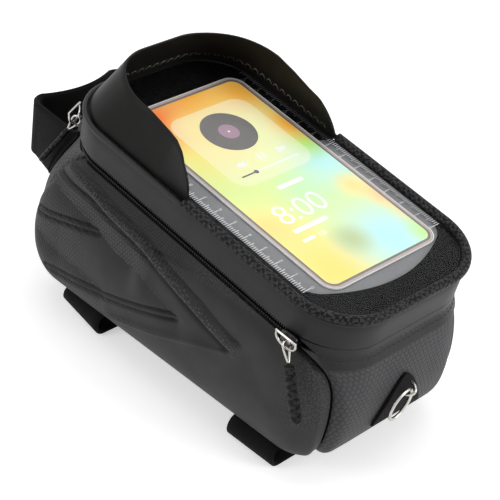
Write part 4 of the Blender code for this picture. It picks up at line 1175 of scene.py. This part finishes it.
def addBar(name, width, length, height, x, y, z, material):
    # a bar whose upright edges are rounded
    bar = addBox(width, length, height)
    bar.name = name
    bpy.ops.object.mode_set(mode="EDIT")
    bpy.ops.mesh.select_all(action="DESELECT")
    mesh = bmesh.from_edit_mesh(bar.data)
    for edge in mesh.edges:
        edge.select = abs(edge.verts[0].co.z - edge.verts[1].co.z) > height * 0.5 * mm
    bmesh.update_edit_mesh(bar.data)
    bpy.ops.mesh.bevel(offset=0.3 * min(width, length) * mm, segments=5)
    bpy.ops.object.mode_set(mode="OBJECT")
    return placeFlat(bar, x, y, z, material)


def addDigits(name, text, size, x, y, z, material, turn=0.0, thin=0.0):
    bpy.ops.object.text_add()
    digits = bpy.context.object
    digits.name = name
    digits.data.body = text
    digits.data.size = size * mm
    digits.data.offset = -thin * mm
    digits.data.align_x = "CENTER"
    digits.data.align_y = "CENTER"
    digits.data.extrude = 0.02 * mm
    return placeFlat(digits, x, y, z, material, turn)


addDisc("recordDisc", 14.5, 0.02, 1.8, 37.5, -0.325, discGrey)
addDisc("recordLabel", 5.4, 0.02, 1.8, 37.5, -0.312, labelMauve)
addDisc("recordPin", 0.7, 0.02, 1.8, 37.5, -0.3, iconWhite, 16)
for index, x in enumerate((1.3, 4.3)):
    addBar("pauseBar%d" % index, 1.3, 5.0, 0.02, x, 15.6, -0.32, iconWhite)
for index, (x, facing) in enumerate(((-12.0, 90), (-9.4, 90), (14.6, -90), (17.2, -90))):
    addDisc("skipMark%d" % index, 2.4, 0.02, x, 15.4, -0.32, iconWhite, 3, facing)
addBar("trackLine", 29, 0.9, 0.02, 7.0, 8.2, -0.32, iconWhite)
addBar("trackDone", 9.5, 0.9, 0.02, -12.8, 8.0, -0.315, discGrey)
addDisc("trackKnob", 1.3, 0.02, -8.0, 8.0, -0.305, discGrey, 24)
addBar("titleBar", 16.5, 2.6, 0.02, 0.8, -6.3, -0.32, iconWhite)
addDigits("clockDigits", "8:00", 18.5, -8.3, -22.3, -0.33, iconWhite, thin=0.12)
addBar("weekdayBar", 22.0, 2.6, 0.02, -12.5, -33.0, -0.32, iconWhite)
addBar("monthBar", 7.5, 2.0, 0.02, -20.5, -39.8, -0.32, iconWhite)
addDigits("dayDigits", "16", 5.0, -12.0, -39.9, -0.33, iconWhite)
print("window and card are built")


# rulers along both sides of the window

rulers = {"from": -64.0, "to": 72.0, "pitch": 1.25, "outside": 1.3}
tick = addBox(1 / mm, 0.46, 0.03)  # one metre long, so that each place can scale it to its own tick
for side, edge, inward in (("Left", window["left"], 1), ("Right", window["right"], -1)):
    shown, shaded = [], []
    steps = int((rulers["to"] - rulers["from"]) / rulers["pitch"])
    for step in range(steps + 1):
        long = 4.9 if step % 8 == 0 else 3.8 if step % 4 == 0 else 2.7
        y = rulers["from"] + step * rulers["pitch"]
        spot = lidPlace((edge + inward * (long / 2 - rulers["outside"]), y, -0.27))
        place = Matrix.Translation(spot) @ lidTurn.to_4x4() @ Matrix.Diagonal((long * mm, 1, 1, 1))
        # ticks and numbers past the step are printed darker, as painted shade of the visor
        (shown if y < window["step" + side] else shaded).append(place)
    repeatShape("ruler" + side, tick, shown, whitePrint, "lid")
    repeatShape("rulerShaded" + side, tick, shaded, visorShadePrint, "lid")
    for number in range(0, steps // 8 + 1):
        y = rulers["from"] + number * 10
        addDigits("rulerNumber%s%d" % (side, number), str(number), 2.8, edge + inward * 5.0 - card["shift"],
                  y, -0.27, whitePrint if y < window["step" + side] else visorShadePrint, 90 * inward)
dropShape(tick)
print("rulers are printed")


# hinge flap with two rows of stitching, rear tab with its ring

def coverOnShell(name, cells, thick, lift, material, replaced):
    normals = [[shellNormal(*cell) for cell in row] for row in cells]
    rows = [[shellAt(*cell) + normal * lift * mm for cell, normal in zip(row, line)]
            for row, line in zip(cells, normals)]
    return sheetPiece(name, rows, normals, thick, material, "root", replaced)


flap = {"end": 0.388, "taper": 0.028, "drop": 8.5, "thick": 0.75, "gap": 0.05, "hinge": 0.06}
flapTop = 1 + (body["rimDepth"] - lid["bandBottom"] - flap["hinge"]) / body["rimDepth"]
flapLow = 1 - flap["drop"] / (body["length"] / 2)


def flapLevel(share, part):
    # the flap's ends sweep up to the zip
    start = min(share, 1 - share) - flap["end"]
    low = flapTop - 0.03 - (flapTop - 0.03 - flapLow) * ramp(start, -0.004, flap["taper"])
    return low + (flapTop - low) * part


flapShares = between(flap["end"], 1 - flap["end"], 160)
coverOnShell("hingeFlap", [[(share, flapLevel(share, part)) for share in flapShares]
                           for part in between(0.0, 1.0, 14)], flap["thick"], flap["thick"] + flap["gap"],
             bandFabric, ["hinge_flap"])
flapSeam = {"length": 2.6, "radius": 0.32, "pitch": 3.4, "rows": (0.16, 0.34), "margin": 0.016, "lift": 0.05}
stitch = modelStitch(flapSeam["length"], flapSeam["radius"])
seamStart = flap["end"] + flapSeam["margin"]
for row, rise in enumerate(flapSeam["rows"]):
    path = []
    for share in between(seamStart, 1 - seamStart, 90):
        level = flapLevel(share, rise)
        normal = shellNormal(share, level)
        lift = flap["thick"] + flap["gap"] + flapSeam["lift"]
        path.append((shellAt(share, level) + normal * lift * mm, normal))
    repeatShape("flapStitches%d" % row, stitch, walkAlong(path, flapSeam["pitch"] * mm), darkThread, "root")
dropShape(stitch)

tab = {"width": 34.0, "bottom": 15.0, "top": 39.0, "thick": 1.4, "stapleDepth": 7.0, "reach": 5.0,
       "span": 6.4, "wire": 1.5, "ringLength": 18.0, "ringWidth": 12.0, "ringWire": 1.7}
cells = []
for height in between(tab["bottom"], tab["top"], 28):
    part = (height - tab["bottom"]) / (tab["top"] - tab["bottom"])
    half = tab["width"] / 2 * (1 - 0.8 * part ** 1.2) * math.sqrt(max(1.02 - part ** 8, 0.0)) * sharePerMm
    cells.append([(share, levelAt(share, height, 0.15)) for share in between(0.5 - half, 0.5 + half, 16)])
coverOnShell("rearTab", cells, tab["thick"], tab["thick"] + 0.45, strapWebbing, ["rear_tab"])

foot = shellAt(0.5, levelAt(0.5, tab["top"] - tab["stapleDepth"])) - Vector((0, tab["thick"] + 0.9, 0)) * mm
ringDown = Vector((-math.sin(math.pi / 4), 0, -math.cos(math.pi / 4)))
ringAcross = Vector((math.cos(math.pi / 4), 0, -math.sin(math.pi / 4)))
tubePiece("tabStaple", [foot + (ringDown * -math.cos(turn) * tab["span"] / 2
                                + Vector((0, -1, 0)) * (math.sin(turn) * tab["reach"] + tab["wire"] / 4)) * mm
                        for turn in between(0, math.pi, 24)], tab["wire"] / 2, brightMetal, "root",
          ["tab_staple"])
ringPivot = foot + Vector((0, -tab["reach"] + tab["wire"] / 2 + tab["ringWire"] / 2 + 0.3, 0)) * mm
ringCentre = ringPivot + ringDown * (tab["ringLength"] - tab["ringWire"]) / 2 * mm
tubePiece("tabRing", [ringCentre + (ringDown * -math.cos(turn) * (tab["ringLength"] - tab["ringWire"]) / 2
                                    + ringAcross * math.sin(turn) * (tab["ringWidth"] - tab["ringWire"]) / 2) * mm
                      for turn in between(0, math.tau, 64)[:-1]], tab["ringWire"] / 2, brightMetal, "tab_ring",
          ["tab_ring"], True)
print("flap, tab and ring are built")


# straps

def strapSheet(name, rows, thick, material, replaced):
    # a closed strap: rows run across it, points run round it
    count, loops = len(rows[0]), []
    for index in range(count):
        line = [row[index] for row in rows]
        ahead = rows[0][(index + 1) % count] - rows[0][index - 1]
        across = rows[-1][index] - rows[0][index]
        inward = across.cross(ahead).normalized() * thick * mm
        side = across.normalized() * thick * 0.3 * mm
        under = [spot + inward for spot in line]
        loops.append(line + [(line[-1] + under[-1]) / 2 + side] + under[::-1]
                     + [(line[0] + under[0]) / 2 - side])
    return loopPiece(name, loops, material, "root", replaced, True, 60)


bottomStrap = {"width": 103.0, "drop": 13.3, "strap": 29.0, "thick": 2.0, "frontMiddle": 62.5,
               "rearMiddle": -61.5, "twist": 3.4, "skew": 3.5}


def bottomRows(middle, twist, skew):
    rows = []
    for part in between(1, 0, 8):
        drop = bottomStrap["drop"] - 0.3 - twist * part
        radius = drop / 2
        flat = bottomStrap["width"] / 2 - skew * part - radius
        path = [(x, -0.3) for x in between(flat, -flat, 40)]
        path += [(-flat - radius * math.sin(turn), -0.3 - radius + radius * math.cos(turn))
                 for turn in between(0, math.pi, 18)[1:-1]]
        path += [(x, -0.3 - drop) for x in between(-flat, flat, 40)]
        path += [(flat + radius * math.sin(turn), -0.3 - radius - radius * math.cos(turn))
                 for turn in between(0, math.pi, 18)[1:-1]]
        y = middle - bottomStrap["strap"] / 2 + bottomStrap["strap"] * part
        rows.append([Vector((x, y, z)) * mm for x, z in path])
    return rows


strapSheet("bottomStrapRear", bottomRows(bottomStrap["rearMiddle"], 0.0, 0.0), bottomStrap["thick"],
           strapWebbing, ["rear_bottom_strap"])
strapSheet("bottomStrapFront", bottomRows(bottomStrap["frontMiddle"], bottomStrap["twist"],
                                          bottomStrap["skew"]), bottomStrap["thick"], strapWebbing,
           ["front_bottom_strap"])

headStrap = {"height": 28.0, "thick": 3.0, "level": 64.5, "span": 74.0, "front": 132.5, "taper": 4.0,
             "bend": 10.0, "dip": 5.0}
rows = []
for part in between(0, 1, 14):
    height = headStrap["level"] + headStrap["height"] * (part - 0.5)
    back = []
    for x in between(headStrap["span"] / 2, -headStrap["span"] / 2, 40):
        share = -x * sharePerMm
        back.append(shellAt(share, levelAt(share, height)) + Vector((0, 1.08, 0)) * mm)
    neck = headStrap["span"] / 2 - headStrap["taper"] - headStrap["bend"]
    ahead = headStrap["front"] - headStrap["bend"]
    right = [Vector((neck + headStrap["bend"] * math.cos(turn), ahead + headStrap["bend"] * math.sin(turn),
                     height)) * mm for turn in between(0, math.pi / 2, 12)]
    leftStart = Vector((-right[0].x, right[0].y, right[0].z))
    run = [back[-1].lerp(leftStart, share) for share in between(0.0, 1.0, 18)[1:-1]]
    left = [Vector((-spot.x, spot.y, spot.z)) for spot in right]
    line = back + run + left
    line += [Vector((x, headStrap["front"] - headStrap["dip"] * (1 - (x / neck) ** 2), height)) * mm
             for x in between(-neck, neck, 24)[1:-1]]
    line += right[::-1] + [Vector((-spot.x, spot.y, spot.z)) for spot in run[::-1]]
    rows.append(line[::-1])
strapSheet("headStrap", rows, headStrap["thick"], strapWebbing, ["front_strap"])
print("straps are built")


# zip sliders, wire links and pulls

def refineMetal(name, node, rides, shift=(0, 0, 0)):
    # the model's slider with its edges rounded
    source = frame["nodes"][node]
    mesh = source.data.copy()
    mesh.materials.clear()
    mesh.transform(Matrix.Translation(shift))
    piece = newPiece(name, mesh)
    piece.matrix_world = source.matrix_world
    shape = bmesh.new()
    shape.from_mesh(mesh)
    bmesh.ops.remove_doubles(shape, verts=shape.verts, dist=0.00001)
    bmesh.ops.dissolve_limit(shape, angle_limit=math.radians(2), verts=shape.verts, edges=shape.edges)
    shape.to_mesh(mesh)
    shape.free()
    selectOnly(piece)
    bevel = piece.modifiers.new("softEdges", "BEVEL")
    bevel.width = 0.16 * mm
    bevel.segments = 2
    bevel.limit_method = "ANGLE"
    bpy.ops.object.modifier_apply(modifier=bevel.name)
    return finishPiece(piece, darkMetal, rides, [node], 45)


rearAlong = Vector((0.04686, -0.98918, -0.13902))
refineMetal("sliderRear", "rear_slider", "rear_slider", rearAlong * 3.5 * mm)
refineMetal("sliderFront", "front_slider", "front_slider")

pull = {"linkRadius": 2.1, "linkLength": 8.0, "linkWire": 1.0, "length": 27.0, "width": 6.0, "thick": 2.8,
        "rearShift": 5.5, "ringWide": 11.5, "ringDeep": 7.0, "ringWire": 1.3}


def hangPull(prefix, bar, along, out, lean, swing, rides):
    down = (-lidUp * math.cos(lean) - along * math.sin(lean)).normalized()
    away = (out - down * out.dot(down)).normalized()
    ringUp = (lidUp + out * 0.25).normalized()
    ring = [(-0.5, 0.0), (-0.25, 0.0), (0.0, 0.0), (0.25, 0.0), (0.5, 0.0), (0.5, -0.3)]
    ring += [(0.5 * math.cos(turn), -0.35 - 0.65 * math.sin(turn))
             for turn in between(0.15, math.pi - 0.15, 14)]
    ring += [(-0.5, -0.3)]
    top = bar + (ringUp * (pull["ringDeep"] - 0.8) + out * 0.6) * mm
    tubePiece(prefix + "Ring", [top + (along * x * pull["ringWide"] + ringUp * z * pull["ringDeep"]) * mm
                                for x, z in ring], pull["ringWire"] / 2, brightMetal, prefix + "_slider",
              closed=True, sides=10)
    turn = Matrix.Rotation(swing, 3, down.cross(away))
    down, away = turn @ down, turn @ away
    side = down.cross(away)
    path = [bar + (down * -pull["linkRadius"] * math.cos(angle)
                   + away * pull["linkRadius"] * math.sin(angle)) * mm
            for angle in between(-math.pi / 2, math.pi / 2, 16)]
    path += [bar + (down * pull["linkLength"] * part + away * pull["linkRadius"] * width) * mm
             for part, width in ((0.2, 0.92), (0.4, 0.75), (0.62, 0.55), (0.85, 0.3), (0.96, 0.14), (1.0, 0.0),
                                 (0.96, -0.14), (0.85, -0.3), (0.62, -0.55), (0.4, -0.75), (0.2, -0.92))]
    tubePiece(prefix + "Link", path, pull["linkWire"] / 2, brightMetal, rides, [prefix + "_pull_link"], True)
    start = pull["linkLength"] + pull["linkWire"] / 2 + 0.3
    loops = []
    for part in between(0.0, 1.0, 60):
        half = min(math.sqrt(max(1 - (1 - part / 0.05) ** 2, 0.0)) if part < 0.05 else 1.0,
                   math.sqrt(max(1 - ((part - 0.88) / 0.12) ** 2, 0.0)) if part > 0.88 else 1.0)
        half = max(half, 0.25)
        if 0.05 < part < 0.62:  # the twisted grip
            half *= 0.9 + 0.1 * math.cos((part - 0.05) / 0.57 * math.tau * 5)
        twist = 0.35 * math.sin(part * math.tau * 4.4) if part < 0.62 else 0.0
        middle = bar + down * (start + pull["length"] * part) * mm
        wide = pull["width"] / 2 * half
        thick = pull["thick"] / 2 * (0.6 + 0.4 * half)
        loop = []
        for turn in range(20):
            angle = math.tau * turn / 20
            spread = abs(math.cos(angle)) ** 0.7 * math.copysign(1, math.cos(angle))
            depth = abs(math.sin(angle)) ** 0.7 * math.copysign(1, math.sin(angle))
            depth *= 1 + twist * 0.3 * spread
            loop.append(middle + (side * wide * spread + away * thick * depth) * mm)
        loops.append(loop)
    loopPiece(prefix + "Grip", loops, carbonRubber, rides, [prefix + "_pull_tab"], smooth=60)


def hangFrom(joint, prefix, along, out, lean, swing, rides, shift=0.0):
    pivot = [entry for entry in frame["joints"] if entry["name"] == joint][0]["pos_m"]
    pivot = Vector(pivot) + along * shift * mm
    hangPull(prefix, pivot, along, Vector(out), math.radians(lean), math.radians(swing), rides)


hangFrom("rear_pull_swing", "rear", rearAlong, (-0.9989, -0.0464, -0.00652), -36.0, 8.5, "rear_pull",
         pull["rearShift"])
hangFrom("front_pull_swing", "front", Vector((-0.92055, -0.38682, -0.05436)), (-0.39062, 0.91159, 0.12812), 0.0,
         24.0, "front_pull")
print("sliders and pulls are built")
